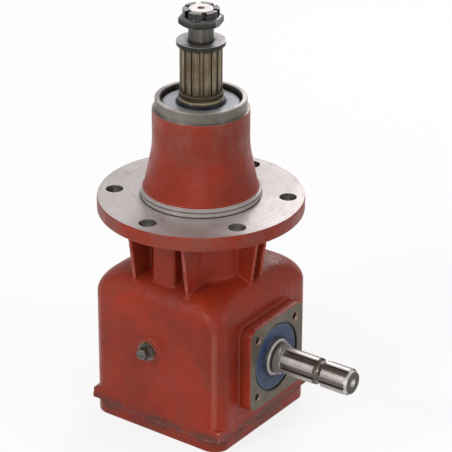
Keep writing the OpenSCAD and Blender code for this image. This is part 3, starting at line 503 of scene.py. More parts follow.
# %% Plain metals
bearing_steel = turned_metal("bearing_steel", "Z", (0.54, 0.54, 0.54), 0.12, (0.18, 0.28), 1.0, 0.1)
gear_steel = turned_metal("gear_steel", "Z", (0.29, 0.28, 0.27), 0.2, (0.28, 0.42), 1.0, 0.35)
dark_steel = turned_metal("dark_steel", "Z", (0.075, 0.068, 0.062), 0.3, (0.26, 0.42), 0.8, 0.4,
                          (0.05, 0.025, 0.015))
zinc_steel = turned_metal("zinc_steel", "X", (0.5, 0.5, 0.48), 0.15, (0.3, 0.45), 1.0, 0.25)
copper = turned_metal("copper", "Z", (0.36, 0.2, 0.13), 0.2, (0.32, 0.46), 0.9, 0.5, (0.1, 0.05, 0.03))
tapped_steel = turned_metal("tapped_steel", "X", (0.23, 0.145, 0.125), 0.3, (0.26, 0.4), 0.8, 0.3)
plug_steel = turned_metal("plug_steel", "Z", (0.125, 0.118, 0.108), 0.3, (0.24, 0.38), 0.85, 0.5,
                          (0.06, 0.045, 0.035), 0.8 * MM)
print("plain metals:", [metal.name for metal in (bearing_steel, gear_steel, dark_steel, zinc_steel, copper,
                                                 tapped_steel, plug_steel)])

# %% [markdown]
# ## The flange's top
#
# It is the palest face of all, turned and then almost polished by handling. The upright side of
# the spigot is painted with light and shade: a painted shade line at its foot, a painted highlight belt
# and a browner top. The outer rim is pale, partly worn white and partly a painted highlight on its edge.
# A low metallic value keeps the face pale where it reflects the dark side of the cone.

# %% Flange top
material, tree, point = new_finish("flange_iron", 0.45)
radius, height = lathe_place(tree, point, "Z")
reach = maths(tree, "ADD", radius, height)
colour = stops(tree, rings(tree, reach, 150.0, 1.0), (0.3, (0.375, 0.335, 0.33)),
               (0.52, (0.405, 0.366, 0.361)), (0.75, (0.44, 0.4, 0.394)))
colour = stain(tree, point, colour, 0.45, (0.23, 0.195, 0.18), 16.0, 0.45, 0.75)
colour = stain(tree, point, colour, 0.35, (0.16, 0.12, 0.095), 70.0, 0.6, 0.72)
colour = tint(tree, colour, spots(tree, point, 520.0, 0.7, 0.73), 0.5, (0.09, 0.07, 0.06))
side = both(tree, window(tree, height, FLANGE_TOP + 0.5, SPIGOT_TOP - 0.9, 0.3),
            window(tree, radius, SPIGOT - 1.0, SPIGOT + 0.6))
# Painted highlight belt on the spigot's side, with darker bands below and above it.
spigot_highlight_and_shade = bands(tree, height, (296.3, (0.12, 0.095, 0.075)), (298.0, (0.33, 0.3, 0.275)),
                 (300.5, (0.42, 0.385, 0.36)), (302.0, (0.16, 0.13, 0.108)),
                 (304.2, (0.12, 0.098, 0.08)))
colour = tint(tree, colour, side, 0.85, spigot_highlight_and_shade)
# Painted shade in the corner at the spigot's foot.
painted_foot_shade = both(tree, window(tree, height, FLANGE_TOP - 1.0, FLANGE_TOP + 1.0, 0.4),
            window(tree, radius, SPIGOT - 1.0, SPIGOT + 0.9, 0.5))
colour = tint(tree, colour, painted_foot_shade, 0.9, (0.05, 0.04, 0.032))
# The pale rim is partly worn white and partly a painted highlight on its edge.
rim = window(tree, radius, FLANGE - 1.0, FLANGE + 1.0, 0.8)
colour = tint(tree, colour, rim, 0.5, (0.62, 0.54, 0.52))
grooves = raised(tree, rings(tree, reach, 1500.0, 1.0), 0.00002)
milled_iron = dressed(material, colour, gloss(tree, point, 60.0, 0.32, 0.48), grooves)
print("flange finish:", milled_iron.name)

# %% [markdown]
# ## The hub's register
#
# The band under the hub's rim has dulled to olive grey, the rim over it is pinker, and the bore inside is
# nearly black, partly old oil and partly painted shade. One ramp on the height gives the belt its edges,
# and a mask on the radius the dark bore.

# %% Hub register
material, tree, point = new_finish("hub_iron", 0.55)
radius, height = lathe_place(tree, point, "Z")
reach = maths(tree, "ADD", radius, height)
colour = bands(tree, height, (410.2, (0.4, 0.32, 0.3)), (411.0, (0.36, 0.3, 0.27)),
               (411.4, (0.19, 0.168, 0.145)), (417.0, (0.215, 0.192, 0.17)),
               (423.6, (0.19, 0.17, 0.15)), (424.4, (0.4, 0.345, 0.33)),
               (425.0, (0.44, 0.385, 0.375)))
# The dark bore is partly old oil and partly painted shade.
bore_oil_and_shade = window(tree, radius, 0.0, HUB_BORE + 0.7, 0.3)
colour = blend(tree, bore_oil_and_shade, colour, (0.035, 0.03, 0.028))
turning = stops(tree, rings(tree, reach, 700.0), (0.3, 0.55), (0.7, 1.0))
colour = blend(tree, 0.35, colour, turning, "MULTIPLY")
colour = stain(tree, point, colour, 0.45, (0.075, 0.06, 0.048), 45.0)
colour = stain(tree, point, colour, 0.6, (0.07, 0.058, 0.045), 14.0, 0.46, 0.62)
colour = stain(tree, point, colour, 0.16, (0.46, 0.42, 0.4), 60.0, 0.52, 0.75)
grooves = raised(tree, rings(tree, reach, 1500.0, 1.0), 0.00004)
hub_face = dressed(material, colour, gloss(tree, point, 90.0, 0.3, 0.48), grooves)
print("hub finish:", hub_face.name)

# %% [markdown]
# ## The input pad and the drilled holes
#
# The pad was milled in straight upright passes, so its pattern is drawn out along Z and not turned.
# The flange's bolt holes are brightest at their mouths and darken down their depth as painted shade, with
# dark oily stains on top.

# %% Pad and holes
material, tree, point = new_finish("pad_iron", 0.65)
passes = streaks(tree, point, "Z", 420.0, 6.0)
colour = stops(tree, passes, (0.35, (0.1, 0.083, 0.06)), (0.52, (0.12, 0.101, 0.074)),
               (0.7, (0.15, 0.128, 0.096)))
colour = stain(tree, point, colour, 0.45, (0.085, 0.068, 0.05), 30.0)
colour = tint(tree, colour, spots(tree, point, 600.0, 0.7, 0.73), 0.4, (0.04, 0.03, 0.025))
pad_face = dressed(material, colour, gloss(tree, point, 60.0, 0.36, 0.52), raised(tree, passes, 0.00006))

material, tree, point = new_finish("drilled_iron", 0.85)
height = lathe_place(tree, point, "Z")[1]
# Painted shade: the walls darken from the bright mouth at 296 mm down to the flange's underside.
colour = bands(tree, height, (277.0, (0.045, 0.04, 0.034)), (286.0, (0.19, 0.178, 0.16)),
               (294.0, (0.34, 0.322, 0.3)), (296.0, (0.5, 0.47, 0.45)))
colour = stain(tree, point, colour, 0.5, (0.03, 0.022, 0.015), 90.0)
grooves = raised(tree, rings(tree, height, 1300.0, 1.0), 0.00004)
drilled = dressed(material, colour, gloss(tree, point, 120.0, 0.22, 0.34), grooves)
print("pad and hole finishes:", pad_face.name, drilled.name)

# %% [markdown]
# ## The output shaft: its spline
#
# The spline is bronze brown, with crests polished by the hub that sat on them. A ramp on the radius
# keeps the grooves dark, partly old oil and partly painted shade, and puts a painted highlight line near
# each crest's edge. Streaks along the teeth, stains and worn edges with a painted sheen come on top, and
# its low end is dark with oil.

# %% Output spline
material, tree, point = new_finish("bronzed_steel", 0.85)
radius, height = lathe_place(tree, point, "Z")
drawn = streaks(tree, point, "Z", 800.0, 22.0)
round_normal, edge_wear_and_sheen = soft_edge(tree)
# Dark grooves are old oil and painted shade, and the bright step at 25.9 mm is a painted highlight line.
tooth_shade_and_highlight = bands(tree, radius, (23.55, (0.15, 0.125, 0.088)), (23.75, (0.055, 0.043, 0.03)),
              (25.3, (0.07, 0.053, 0.036)), (25.9, (0.34, 0.283, 0.2)), (26.14, (0.19, 0.152, 0.102)))
spline = blend(tree, 0.75, tooth_shade_and_highlight, stops(tree, drawn, (0.34, 0.38), (0.66, 1.6)), "MULTIPLY")
spline = stain(tree, point, spline, 0.7, (0.1, 0.06, 0.032), 26.0, 0.45, 0.62)
# Brighter edges: worn metal and a painted sheen.
spline = tint(tree, spline, edge_wear_and_sheen, 0.5, (0.5, 0.44, 0.34))
low_end = bands(tree, height, (434.0, 0.7), (438.0, 0.4), (447.0, 0.0))
spline = blend(tree, low_end, spline, (0.04, 0.031, 0.022))
print("nodes for the spline:", len(tree.nodes))

# %% [markdown]
# ## The output shaft: all its zones
#
# From the seal up come a golden ground band with a painted highlight along it, a dark neck, the spline, the
# stud and its sawn end.
# Each next zone is laid over the one before from its own height up, which leaves no gap between two
# zones. The stud's fine thread is a ping-pong wave that climbs once per turn.

# %% Output shaft
THREAD_PITCH = 2.0


def thread(tree, point, height):
    """The height of a screw thread, from its root at 0 to its crest at 1."""
    parts = add(tree, "SeparateXYZ", {0: point}).outputs
    angle = maths(tree, "ARCTAN2", parts["Y"], parts["X"])
    turns = maths(tree, "SUBTRACT", maths(tree, "DIVIDE", height, THREAD_PITCH * MM),
                  maths(tree, "DIVIDE", angle, 2 * math.pi))
    return maths(tree, "PINGPONG", turns, 0.5)


# The bright belt from 424 to 426 mm is a painted highlight on the ground band.
golden_band_and_highlight = bands(tree, height, (418.0, (0.06, 0.045, 0.03)), (423.6, (0.2, 0.155, 0.1)),
               (424.3, (0.74, 0.6, 0.4)), (426.0, (0.66, 0.52, 0.33)), (427.2, (0.15, 0.115, 0.075)),
               (431.5, (0.08, 0.064, 0.045)), (434.6, (0.055, 0.043, 0.031)))
screw = thread(tree, point, height)
stud = stops(tree, screw, (0.0, (0.07, 0.064, 0.056)), (0.5, (0.125, 0.117, 0.104)))
end = bands(tree, radius, (2.0, (0.03, 0.025, 0.022)), (4.2, (0.1, 0.085, 0.08)),
            (5.0, (0.52, 0.47, 0.46)), (14.0, (0.58, 0.53, 0.52)))
colour = blend(tree, window(tree, height, 435.0, ABOVE_ALL, 0.5), golden_band_and_highlight, spline)
colour = blend(tree, window(tree, height, WASHER_FOOT + 0.5, ABOVE_ALL, 0.5), colour, stud)
# Painted shadow: the spline under the washer and the stud's foot just above it are darkened.
colour = tint(tree, colour, window(tree, height, 490.0, 499.8, 1.4), 0.75, (0.02, 0.017, 0.015))
colour = blend(tree, window(tree, height, STUD_TOP - 0.5, ABOVE_ALL, 0.3), colour, end)
on_stud = both(tree, screw, window(tree, height, 497.0, 538.0))
relief = raised(tree, on_stud, 0.0005, raised(tree, drawn, 0.00002, round_normal))
output_steel = dressed(material, colour, gloss(tree, point, 90.0, 0.26, 0.42), relief)
print("output shaft finish:", output_steel.name)

# %% [markdown]
# ## The input shaft
#
# It is paler than the output shaft and has long marks from the coupling that slid on it. The roots
# between its six teeth get painted shade, darkest along the tooth walls. The collar behind the teeth has
# painted highlight rings by the seal and painted shade in its groove, the chamfer at the free end is
# bright, and the sawn end is dark with a painted glint round its centre hole.

# %% Input shaft
material, tree, point = new_finish("bright_steel", 0.6)
radius, along = lathe_place(tree, point, "X")
drawn = streaks(tree, point, "X", 420.0, 8.0)
crest = stops(tree, drawn, (0.3, (0.27, 0.242, 0.23)), (0.5, (0.365, 0.335, 0.322)),
              (0.7, (0.48, 0.448, 0.435)))
# The roots are painted shade.
painted_root_shade = stops(tree, drawn, (0.3, (0.07, 0.052, 0.041)), (0.5, (0.12, 0.096, 0.08)),
             (0.7, (0.19, 0.16, 0.14)))
# Painted shade on the tooth walls: the colour is multiplied down between 14.95 and 16.8 mm.
painted_flank_shade = bands(tree, radius, (14.72, 1.0), (14.95, 0.2), (16.8, 0.22), (17.2, 0.9), (17.44, 1.0))
colour = blend(tree, bands(tree, radius, (15.0, 0.0), (16.8, 1.0)), painted_root_shade, crest)
colour = blend(tree, 1.0, colour, painted_flank_shade, "MULTIPLY")
locking = window(tree, along, 180.5, 192.5, 0.8)
colour = tint(tree, colour, locking, 0.35, (0.1, 0.08, 0.064))
# The bright rings at 119.9 and 124.4 mm are painted highlights.
collar_with_painted_highlights = bands(tree, along, (115.0, (0.12, 0.1, 0.09)), (117.5, (0.26, 0.23, 0.21)),
               (119.5, (0.34, 0.31, 0.29)), (119.9, (0.42, 0.39, 0.375)), (121.2, (0.35, 0.325, 0.31)),
               (121.7, (0.17, 0.148, 0.132)), (124.0, (0.17, 0.148, 0.132)), (124.4, (0.42, 0.39, 0.37)),
               (127.4, (0.27, 0.24, 0.22)), (128.3, (0.085, 0.068, 0.056)), (129.6, (0.13, 0.105, 0.088)))
colour = blend(tree, window(tree, along, 0.0, 129.5, 0.6), colour, collar_with_painted_highlights)
# Painted shade in the collar's groove.
groove = both(tree, window(tree, along, 121.4, 124.0, 0.1), window(tree, radius, 0.0, 19.4, 0.2))
colour = tint(tree, colour, groove, 0.85, (0.035, 0.028, 0.023))
colour = stain(tree, point, colour, 0.25, (0.11, 0.088, 0.072), 30.0)
chamfer = window(tree, along, SHAFT_END - 4.2, SHAFT_END - 0.6, 0.4)
colour = tint(tree, colour, chamfer, 0.8, (0.6, 0.56, 0.53))
# The bright ring at 4.4 mm round the centre hole is a painted glint.
end = bands(tree, radius, (1.5, (0.02, 0.018, 0.016)), (3.4, (0.06, 0.05, 0.045)),
            (4.4, (0.55, 0.5, 0.47)), (5.3, (0.15, 0.127, 0.11)), (6.2, (0.042, 0.035, 0.029)),
            (14.0, (0.055, 0.046, 0.038)))
colour = blend(tree, window(tree, along, SHAFT_END - 0.3, 240.0, 0.25), colour, end)
input_steel = dressed(material, colour, gloss(tree, point, 90.0, 0.22, 0.36), raised(tree, drawn, 0.00001))
print("input shaft finish:", input_steel.name)

# %% [markdown]
# ## Washer and castle nut
#
# The washer's top is blue-grey with a worn edge and painted shade towards the stud, and its rim is
# nearly black. The nut is black oxide, rubbed to bare metal on top of its crown, and its pale edges are
# partly worn and partly a painted sheen. A painted highlight lies on the hex's top chamfer and painted
# shade at the foot of the crown, so its ramp runs up its height.

# %% Washer and nut
material, tree, point = new_finish("washer_steel", 0.85)
radius, height = lathe_place(tree, point, "Z")
reach = maths(tree, "ADD", radius, height)
# The top darkens towards the stud as painted shade.
top_with_stud_shade = bands(tree, radius, (16.0, (0.025, 0.022, 0.02)), (18.5, (0.13, 0.13, 0.135)),
            (22.0, (0.215, 0.2, 0.202)), (29.2, (0.27, 0.25, 0.252)), (29.7, (0.42, 0.4, 0.4)))
colour = blend(tree, window(tree, height, 498.05, 510.0, 0.1), (0.032, 0.029, 0.026), top_with_stud_shade)
colour = stain(tree, point, colour, 0.4, (0.055, 0.047, 0.042), 60.0)
round_normal, edge_wear_and_sheen = soft_edge(tree)
# Brighter edges: worn metal and a painted sheen.
colour = tint(tree, colour, edge_wear_and_sheen, 0.5, (0.3, 0.28, 0.27))
grooves = raised(tree, rings(tree, reach, 900.0), 0.00004, round_normal)
washer_finish = dressed(material, colour, gloss(tree, point, 90.0, 0.28, 0.42), grooves)

material, tree, point = new_finish("nut_steel", 0.85)
height = lathe_place(tree, point, "Z")[1]
# Painted highlight on the hex's top chamfer, 527 to 529 mm, and painted shade at the foot of the crown, 529.8
# mm.
colour = bands(tree, height, (518.0, (0.024, 0.022, 0.021)), (523.0, (0.036, 0.034, 0.033)),
               (526.0, (0.065, 0.062, 0.06)), (527.4, (0.1, 0.1, 0.102)),
               (529.3, (0.115, 0.115, 0.118)), (529.8, (0.016, 0.016, 0.018)),
               (534.0, (0.048, 0.05, 0.056)), (536.9, (0.026, 0.026, 0.03)),
               (537.6, (0.16, 0.15, 0.15)), (538.4, (0.24, 0.22, 0.22)))
colour = stain(tree, point, colour, 0.45, (0.055, 0.05, 0.047), 48.0, 0.5, 0.7)
round_normal, edge_wear_and_sheen = soft_edge(tree)
# Brighter edges: worn metal and a painted sheen.
colour = tint(tree, colour, edge_wear_and_sheen, 0.55, (0.32, 0.31, 0.31))
forged = raised(tree, speckle(tree, point, 180.0), 0.00025, round_normal)
nut_finish = dressed(material, colour, gloss(tree, point, 70.0, 0.15, 0.3), forged)
print("washer and nut finishes:", washer_finish.name, nut_finish.name)

# %% [markdown]
# ## Seals and gaskets
#
# The output seal is a blue-grey steel case with a black lip that stands up round the shaft, and the input
# seal is blue rubber over a steel case. Ramps on the distance from the axis give both their rings.
# The gaskets are dark paper soaked with oil and a little paint.

# %% Seals and gaskets
material, tree, point = new_finish("seal_steel", 0.35, 0.25)
radius = lathe_place(tree, point, "Z")[0]
# From 46.3 mm out to the bore the case turns black: partly black rubber and partly painted shadow at the
# bore's wall.
colour = bands(tree, radius, (28.0, (0.01, 0.01, 0.012)), (30.6, (0.013, 0.013, 0.016)),
               (31.4, (0.15, 0.16, 0.19)), (33.5, (0.26, 0.27, 0.305)), (44.5, (0.31, 0.322, 0.355)),
               (46.3, (0.15, 0.155, 0.175)), (47.1, (0.012, 0.012, 0.014)), (50.0, (0.01, 0.01, 0.011)))
colour = stain(tree, point, colour, 0.3, (0.13, 0.125, 0.13), 30.0)
pressed = raised(tree, speckle(tree, point, 500.0), 0.00006)
seal_case = dressed(material, colour, gloss(tree, point, 80.0, 0.28, 0.42), pressed)

material, tree, point = new_finish("blue_seal", 0.0, 0.2)
radius = lathe_place(tree, point, "X")[0]
# The pale ring at 41.9 mm is a painted highlight on the rubber's outer edge.
colour = bands(tree, radius, (24.0, (0.01, 0.014, 0.026)), (25.6, (0.015, 0.027, 0.06)),
               (27.8, (0.01, 0.02, 0.05)), (33.0, (0.016, 0.034, 0.088)),
               (40.5, (0.022, 0.04, 0.09)), (41.9, (0.1, 0.12, 0.15)), (42.4, (0.018, 0.022, 0.032)),
               (43.4, (0.014, 0.016, 0.022)), (43.9, (0.13, 0.14, 0.15)), (45.0, (0.16, 0.16, 0.16)))
colour = stain(tree, point, colour, 0.2, (0.12, 0.14, 0.19), 50.0, 0.45, 0.75)
colour = stain(tree, point, colour, 0.35, (0.02, 0.026, 0.045), 24.0, 0.52, 0.72)
moulded = raised(tree, speckle(tree, point, 900.0), 0.00008)
seal_rubber = dressed(material, colour, gloss(tree, point, 80.0, 0.3, 0.48), moulded)

material, tree, point = new_finish("gasket", 0.0, 0.3)
colour = stops(tree, speckle(tree, point, 120.0), (0.3, (0.02, 0.008, 0.006)),
               (0.7, (0.075, 0.02, 0.014)))
fibres = raised(tree, speckle(tree, point, 1200.0), 0.0002)
gasket_paper = dressed(material, colour, gloss(tree, point, 90.0, 0.5, 0.8), fibres)
print("all finishes:", len(bpy.data.materials))

# %% [markdown]
# ## Casting first, machining second
#
# A real housing is cast with soft, rounded edges and some metal to spare, and then the machine tools
# cut the faces that matter. The same two steps give the right mix of soft and sharp edges here.
# A copy of the CAD solid gets extra metal over its machined faces and its holes, is remeshed into
# small even squares and smoothed, so that every edge and every inside corner is rounded as in a mould.
# Then turned cutters take the spare metal off again, down to the CAD's sizes. Each cutter carries
# the bare-metal finish, so what it cuts comes out unpainted.
#
# The first helpers make a mesh from corners and faces, and turn a profile round an axis. A point of
# the profile that lies on the axis becomes one single corner, so the solid is closed there.

# %% Turned pieces


def new_piece(name, vertices, faces, *finishes):
    mesh = bpy.data.meshes.new(name)
    mesh.from_pydata(vertices, [], faces)
    for finish in finishes:
        mesh.materials.append(finish)
    piece = bpy.data.objects.new(name, mesh)
    scene.collection.objects.link(piece)
    return piece


def turned(name, profile, axis, finish, steps=144, centre=(0.0, 0.0, 0.0)):
    """A closed solid turned from a profile of (radius, height) points in millimetres."""
    vertices = []
    rims = []
    for radius, height in profile:
        count = steps if radius > 0 else 1
        rims.append(range(len(vertices), len(vertices) + count))
        for step in range(count):
            angle = 2 * math.pi * step / steps
            across, up_or_down = radius * MM * math.cos(angle), radius * MM * math.sin(angle)
            spot = (across, up_or_down, height * MM) if axis == "Z" else (height * MM, across, up_or_down)
            vertices.append([a + b for a, b in zip(spot, centre)])
    faces = []
    for first, second in zip(rims, rims[1:] + rims[:1]):
        if len(first) == len(second) == 1:
            continue
        for step in range(steps):
            after = (step + 1) % steps
            corners = (first[step % len(first)], first[after % len(first)],
                       second[after % len(second)], second[step % len(second)])
            faces.append(tuple(dict.fromkeys(corners)))
    return new_piece(name, vertices, faces, finish)


def rod(name, radius, start, end, axis, finish, centre=(0.0, 0.0, 0.0), steps=48):
    """A plain round bar between two heights on an axis."""
    return turned(name, [(0, start), (radius, start), (radius, end), (0, end)], axis, finish, steps, centre)


print("lathe ready")

# %% [markdown]
# ## Square tools
#
# Milling cutters and the spare metal on square faces are plain blocks. The input pad has round corners,
# and its spare metal needs the same ones, or the casting would bulge past them.

# %% Blocks and slabs
ARC_STEPS = 8


def block(name, low, high, finish):
    """A plain box between two corners in millimetres, used as spare metal or as a cutter."""
    corners = [(x * MM, y * MM, z * MM) for z in (low[2], high[2]) for y in (low[1], high[1])
               for x in (low[0], high[0])]
    faces = [(0, 2, 3, 1), (4, 5, 7, 6), (0, 1, 5, 4), (2, 6, 7, 3), (0, 4, 6, 2), (1, 3, 7, 5)]
    return new_piece(name, corners, faces, finish)


def slab(name, half_side, radius, low, high, finish):
    """A square plate with round corners across the input axis, between two distances along it."""
    outline = []
    for quarter, (y, z) in enumerate(((1, 1), (-1, 1), (-1, -1), (1, -1))):
        for step in range(ARC_STEPS + 1):
            angle = math.radians(90 * quarter + 90 * step / ARC_STEPS)
            outline.append((y * (half_side - radius) + radius * math.cos(angle),
                            z * (half_side - radius) + radius * math.sin(angle)))
    count = len(outline)
    corners = [(x * MM, y * MM, INPUT_HEIGHT + z * MM) for x in (low, high) for y, z in outline]
    faces = [tuple(range(count - 1, -1, -1)), tuple(range(count, 2 * count))]
    faces += [(i, (i + 1) % count, count + (i + 1) % count, count + i) for i in range(count)]
    return new_piece(name, corners, faces, finish)


print("square tools ready")

# %% [markdown]
# ## Joining and cutting
#
# A boolean modifier joins a tool to the casting or cuts the casting with it, and hands the tool's finish
# to the faces it leaves. Tools that don't touch each other go in as one mesh, because one boolean with
# many loose parts is much quicker than many booleans. The modifiers are then applied, since the piece
# handed over has to be a plain mesh.

# %% Join and cut


def settle(piece):
    """Applies the modifiers of a piece to its mesh."""
    bpy.context.view_layer.update()
    graph = bpy.context.evaluated_depsgraph_get()
    mesh = bpy.data.meshes.new_from_object(piece.evaluated_get(graph), depsgraph=graph)
    old = piece.data
    piece.modifiers.clear()
    piece.data = mesh
    bpy.data.meshes.remove(old)
    return piece


def joined(name, tools):
    """One tool out of several that don't touch each other."""
    vertices, faces, finish_places, finishes = [], [], [], []
    for tool in tools:
        first = len(vertices)
        vertices += [list(vertex.co) for vertex in tool.data.vertices]
        faces += [[first + index for index in polygon.vertices] for polygon in tool.data.polygons]
        finish = tool.data.materials[0]
        if finish not in finishes:
            finishes.append(finish)
        finish_places += [finishes.index(finish)] * len(tool.data.polygons)
        bpy.data.objects.remove(tool)
    whole = new_piece(name, vertices, faces, *finishes)
    whole.data.polygons.foreach_set("material_index", finish_places)
    return whole


def shape(piece, tools, operation):
    """Joins or cuts a piece with tools that don't touch each other, and throws the tools away."""
    tool = joined("tools", tools)
    change = piece.modifiers.new("shape", "BOOLEAN")
    change.operation = operation
    change.solver = "MANIFOLD"
    change.object = tool
    change.material_mode = "TRANSFER"
    settle(piece)
    bpy.data.objects.remove(tool)


print("join and cut ready")

# %% [markdown]
# ## The mould
#
# A voxel remesh and a few rounds of smoothing stand in for the sand mould. The voxel has to be small
# against the 5 mm ribs, and each round of smoothing softens the edges a little more.

# %% Cast a piece
WELD = 0.00001


def cast_from(node, name, voxel, rounds, *spares):
    """A cast body: the CAD solid with one or more lots of spare metal, remeshed and smoothed."""
    piece = bpy.data.objects.new(name, cad_nodes[node].data.copy())
    scene.collection.objects.link(piece)
    piece.data.materials.clear()
    piece.data.materials.append(paint)
    piece.modifiers.new("weld", "WELD").merge_threshold = WELD
    settle(piece)
    for spare in spares:
        shape(piece, spare, "UNION")
    remesh = piece.modifiers.new("mould", "REMESH")
    remesh.mode = "VOXEL"
    remesh.voxel_size = voxel
    remesh.use_smooth_shade = True
    smooth = piece.modifiers.new("soften", "SMOOTH")
    smooth.factor = 0.5
    smooth.iterations = rounds
    return settle(piece)


print("mould ready")

# %% [markdown]
# ## Where the holes are
#
# The flange has six bolt holes, the input pad four tapped ones, the rear cap four, and the cover one
# near each corner. All of these patterns are laid out by a count or by mirror images.

# %% Hole patterns
PAD_BORE, CAP_BORE = 45.0, 40.0
PAD_FACE, PAD_WIDTH, PAD_CORNER, PAD_PITCH, PAD_HOLE, PAD_HOLE_DEEP = 117.5, 112.0, 12.0, 80.0, 4.25, 16.0
CAP_FACE, CAP_OUTSIDE, CAP_CIRCLE, CAP_HOLE, CAP_HOLE_DEEP = -108.0, -115.5, 47.5, 4.02, 18.0
BOX_HALF_WIDTH, BOX_HALF_DEPTH, COVER = 99.5, 98.0, 16.5
COVER_HOLE, COVER_INSET, SCREW_TOP, HEAD_HOLE, HEAD_DEEP = 5.02, 13.0, 40.6, 8.5, 10.6
SCREW_PLAY = 0.48
INPUT_CENTRE = (0.0, 0.0, INPUT_HEIGHT)


def bolt_places():
    reach = BOLT_CIRCLE * MM
    return [(reach * math.cos(math.radians(a)), reach * math.sin(math.radians(a)), 0.0)
            for a in range(30, 390, 60)]


def pad_places():
    half = PAD_PITCH / 2 * MM
    return [(0.0, y * half, INPUT_HEIGHT + z * half) for y in (-1, 1) for z in (-1, 1)]


def cap_places():
    reach = CAP_CIRCLE * MM
    return [(0.0, reach * math.cos(math.radians(a)), INPUT_HEIGHT + reach * math.sin(math.radians(a)))
            for a in range(45, 405, 90)]


def cover_places():
    return [(x * (BOX_HALF_WIDTH - COVER_INSET) * MM, y * (BOX_HALF_DEPTH - COVER_INSET) * MM, 0.0)
            for x in (-1, 1) for y in (-1, 1)]


print("holes:", len(bolt_places() + pad_places() + cap_places() + cover_places()))

# %% [markdown]
# ## The housing: cast
#
# The spare metal is a ring on the flange, a ring on the hub, a plate under the box and one on
# the input pad, each 4 mm thick. The bolt holes are plugged before casting, because small holes don't
# survive the remesh.

# %% Cast the housing
SPARE = 4.0
SOFT_VOXEL = 0.0014
RING_INSIDE = 66
half_pad = PAD_WIDTH / 2
spare_faces = [
    turned("spare_flange", [(RING_INSIDE, FLANGE_TOP - 6), (FLANGE - 1.5, FLANGE_TOP - 6),
                            (FLANGE - 1.5, FLANGE_TOP + SPARE), (SPIGOT + 4, FLANGE_TOP + SPARE),
                            (SPIGOT + 4, SPIGOT_TOP + 2), (RING_INSIDE, SPIGOT_TOP + 2)], "Z", paint),
    turned("spare_hub", [(46, BAND_FOOT + 0.5), (HUB + 3, BAND_FOOT + 0.5), (HUB + 3, HUB_TOP + SPARE),
                         (46, HUB_TOP + SPARE)], "Z", paint),
    block("spare_base", (-BOX_HALF_WIDTH, -BOX_HALF_DEPTH, BASE - SPARE),
          (BOX_HALF_WIDTH, BOX_HALF_DEPTH, BASE + 6), paint),
    slab("spare_pad", half_pad - 0.5, PAD_CORNER, PAD_FACE - 8, PAD_FACE + SPARE, paint),
]
spare_bolts = [rod("spare_bolt", BOLT_HOLE + 1, FLANGE_UNDER + 0.5, FLANGE_TOP, "Z", paint, spot)
               for spot in bolt_places()]
casting = cast_from("housing", "housing_casting", SOFT_VOXEL, 3, spare_faces, spare_bolts)
print("casting:", len(casting.data.polygons), "faces")

# %% [markdown]
# ## The housing: faced and bored
#
# The lathe faces the flange and turns the spigot and the hub's register, each with a small chamfer, and
# bores the hub for its bearing and seal. The mill faces the foot, the input pad and the rear boss.

# %% Face the housing
FAR, HUB_SEAT = 160.0, 377.25
faces_cut = [
    turned("face_flange", [(SPIGOT, FLANGE_TOP), (FAR, FLANGE_TOP), (FAR, 313), (72.6, 313),
                           (72.6, SPIGOT_TOP), (SPIGOT - 0.8, SPIGOT_TOP), (SPIGOT, SPIGOT_TOP - 0.8)],
           "Z", milled_iron),
    turned("turn_hub", [(HUB, BAND_FOOT), (70, BAND_FOOT), (70, 440), (0, 440), (0, HUB_SEAT),
                        (HUB_BORE, HUB_SEAT), (HUB_BORE, HUB_TOP - 1), (HUB_BORE + 1.2, HUB_TOP),
                        (HUB - 0.8, HUB_TOP), (HUB, HUB_TOP - 0.8)], "Z", hub_face),
    block("face_base", (-FAR, -FAR, 0), (FAR, FAR, BASE), drilled),
    block("face_pad", (PAD_FACE, -80, 20), (PAD_FACE + 30, 80, 190), pad_face),
    block("face_cap", (-140, -80, 20), (CAP_FACE, 80, 190), pad_face),
]
shape(casting, faces_cut, "DIFFERENCE")
print("faced housing:", len(casting.data.polygons), "faces")

# %% [markdown]
# ## The housing: drilled
#
# The bores for the input bearings' seats come first, then the flange's bolt holes and the small tapped
# holes. Those in the input pad get a countersink, as the tap leaves it.

# %% Drill the housing
holes_cut = [
    turned("bore_pad", [(0, 79.75), (PAD_BORE, 79.75), (PAD_BORE, PAD_FACE - 1),
                        (PAD_BORE + 1.7, PAD_FACE + 0.5), (PAD_BORE + 1.7, 120), (0, 120)],
           "X", dark_steel, 144, INPUT_CENTRE),
    rod("bore_cap", CAP_BORE, -112, -81.25, "X", pad_face, INPUT_CENTRE, 144),
]
holes_cut += [rod("drill_bolt", BOLT_HOLE, 270, 300, "Z", drilled, spot) for spot in bolt_places()]
tap_profile = [(0, PAD_FACE - PAD_HOLE_DEEP), (PAD_HOLE, PAD_FACE - PAD_HOLE_DEEP), (PAD_HOLE, PAD_FACE - 2),
               (PAD_HOLE + 2.5, PAD_FACE + 0.5), (PAD_HOLE + 2.5, 122), (0, 122)]
holes_cut += [turned("tap_pad", tap_profile, "X", tapped_steel, 32, spot) for spot in pad_places()]
holes_cut += [rod("tap_cap", CAP_HOLE, CAP_FACE - 4, CAP_FACE + CAP_HOLE_DEEP, "X", dark_steel, spot, 32)
              for spot in cap_places()]
holes_cut += [rod("tap_cover", COVER_HOLE, BASE - 4, SCREW_TOP, "Z", dark_steel, spot, 32)
              for spot in cover_places()]
shape(casting, holes_cut, "DIFFERENCE")
print("machined housing:", len(casting.data.polygons), "faces")
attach(casting, "casing")
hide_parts("housing")

# %% [markdown]
# ## The cover
#
# The cover is a thin casting under the same paint. Its screw holes are filled first, the piece is
# remeshed and softened, and then the holes are drilled again, so only the edges change.

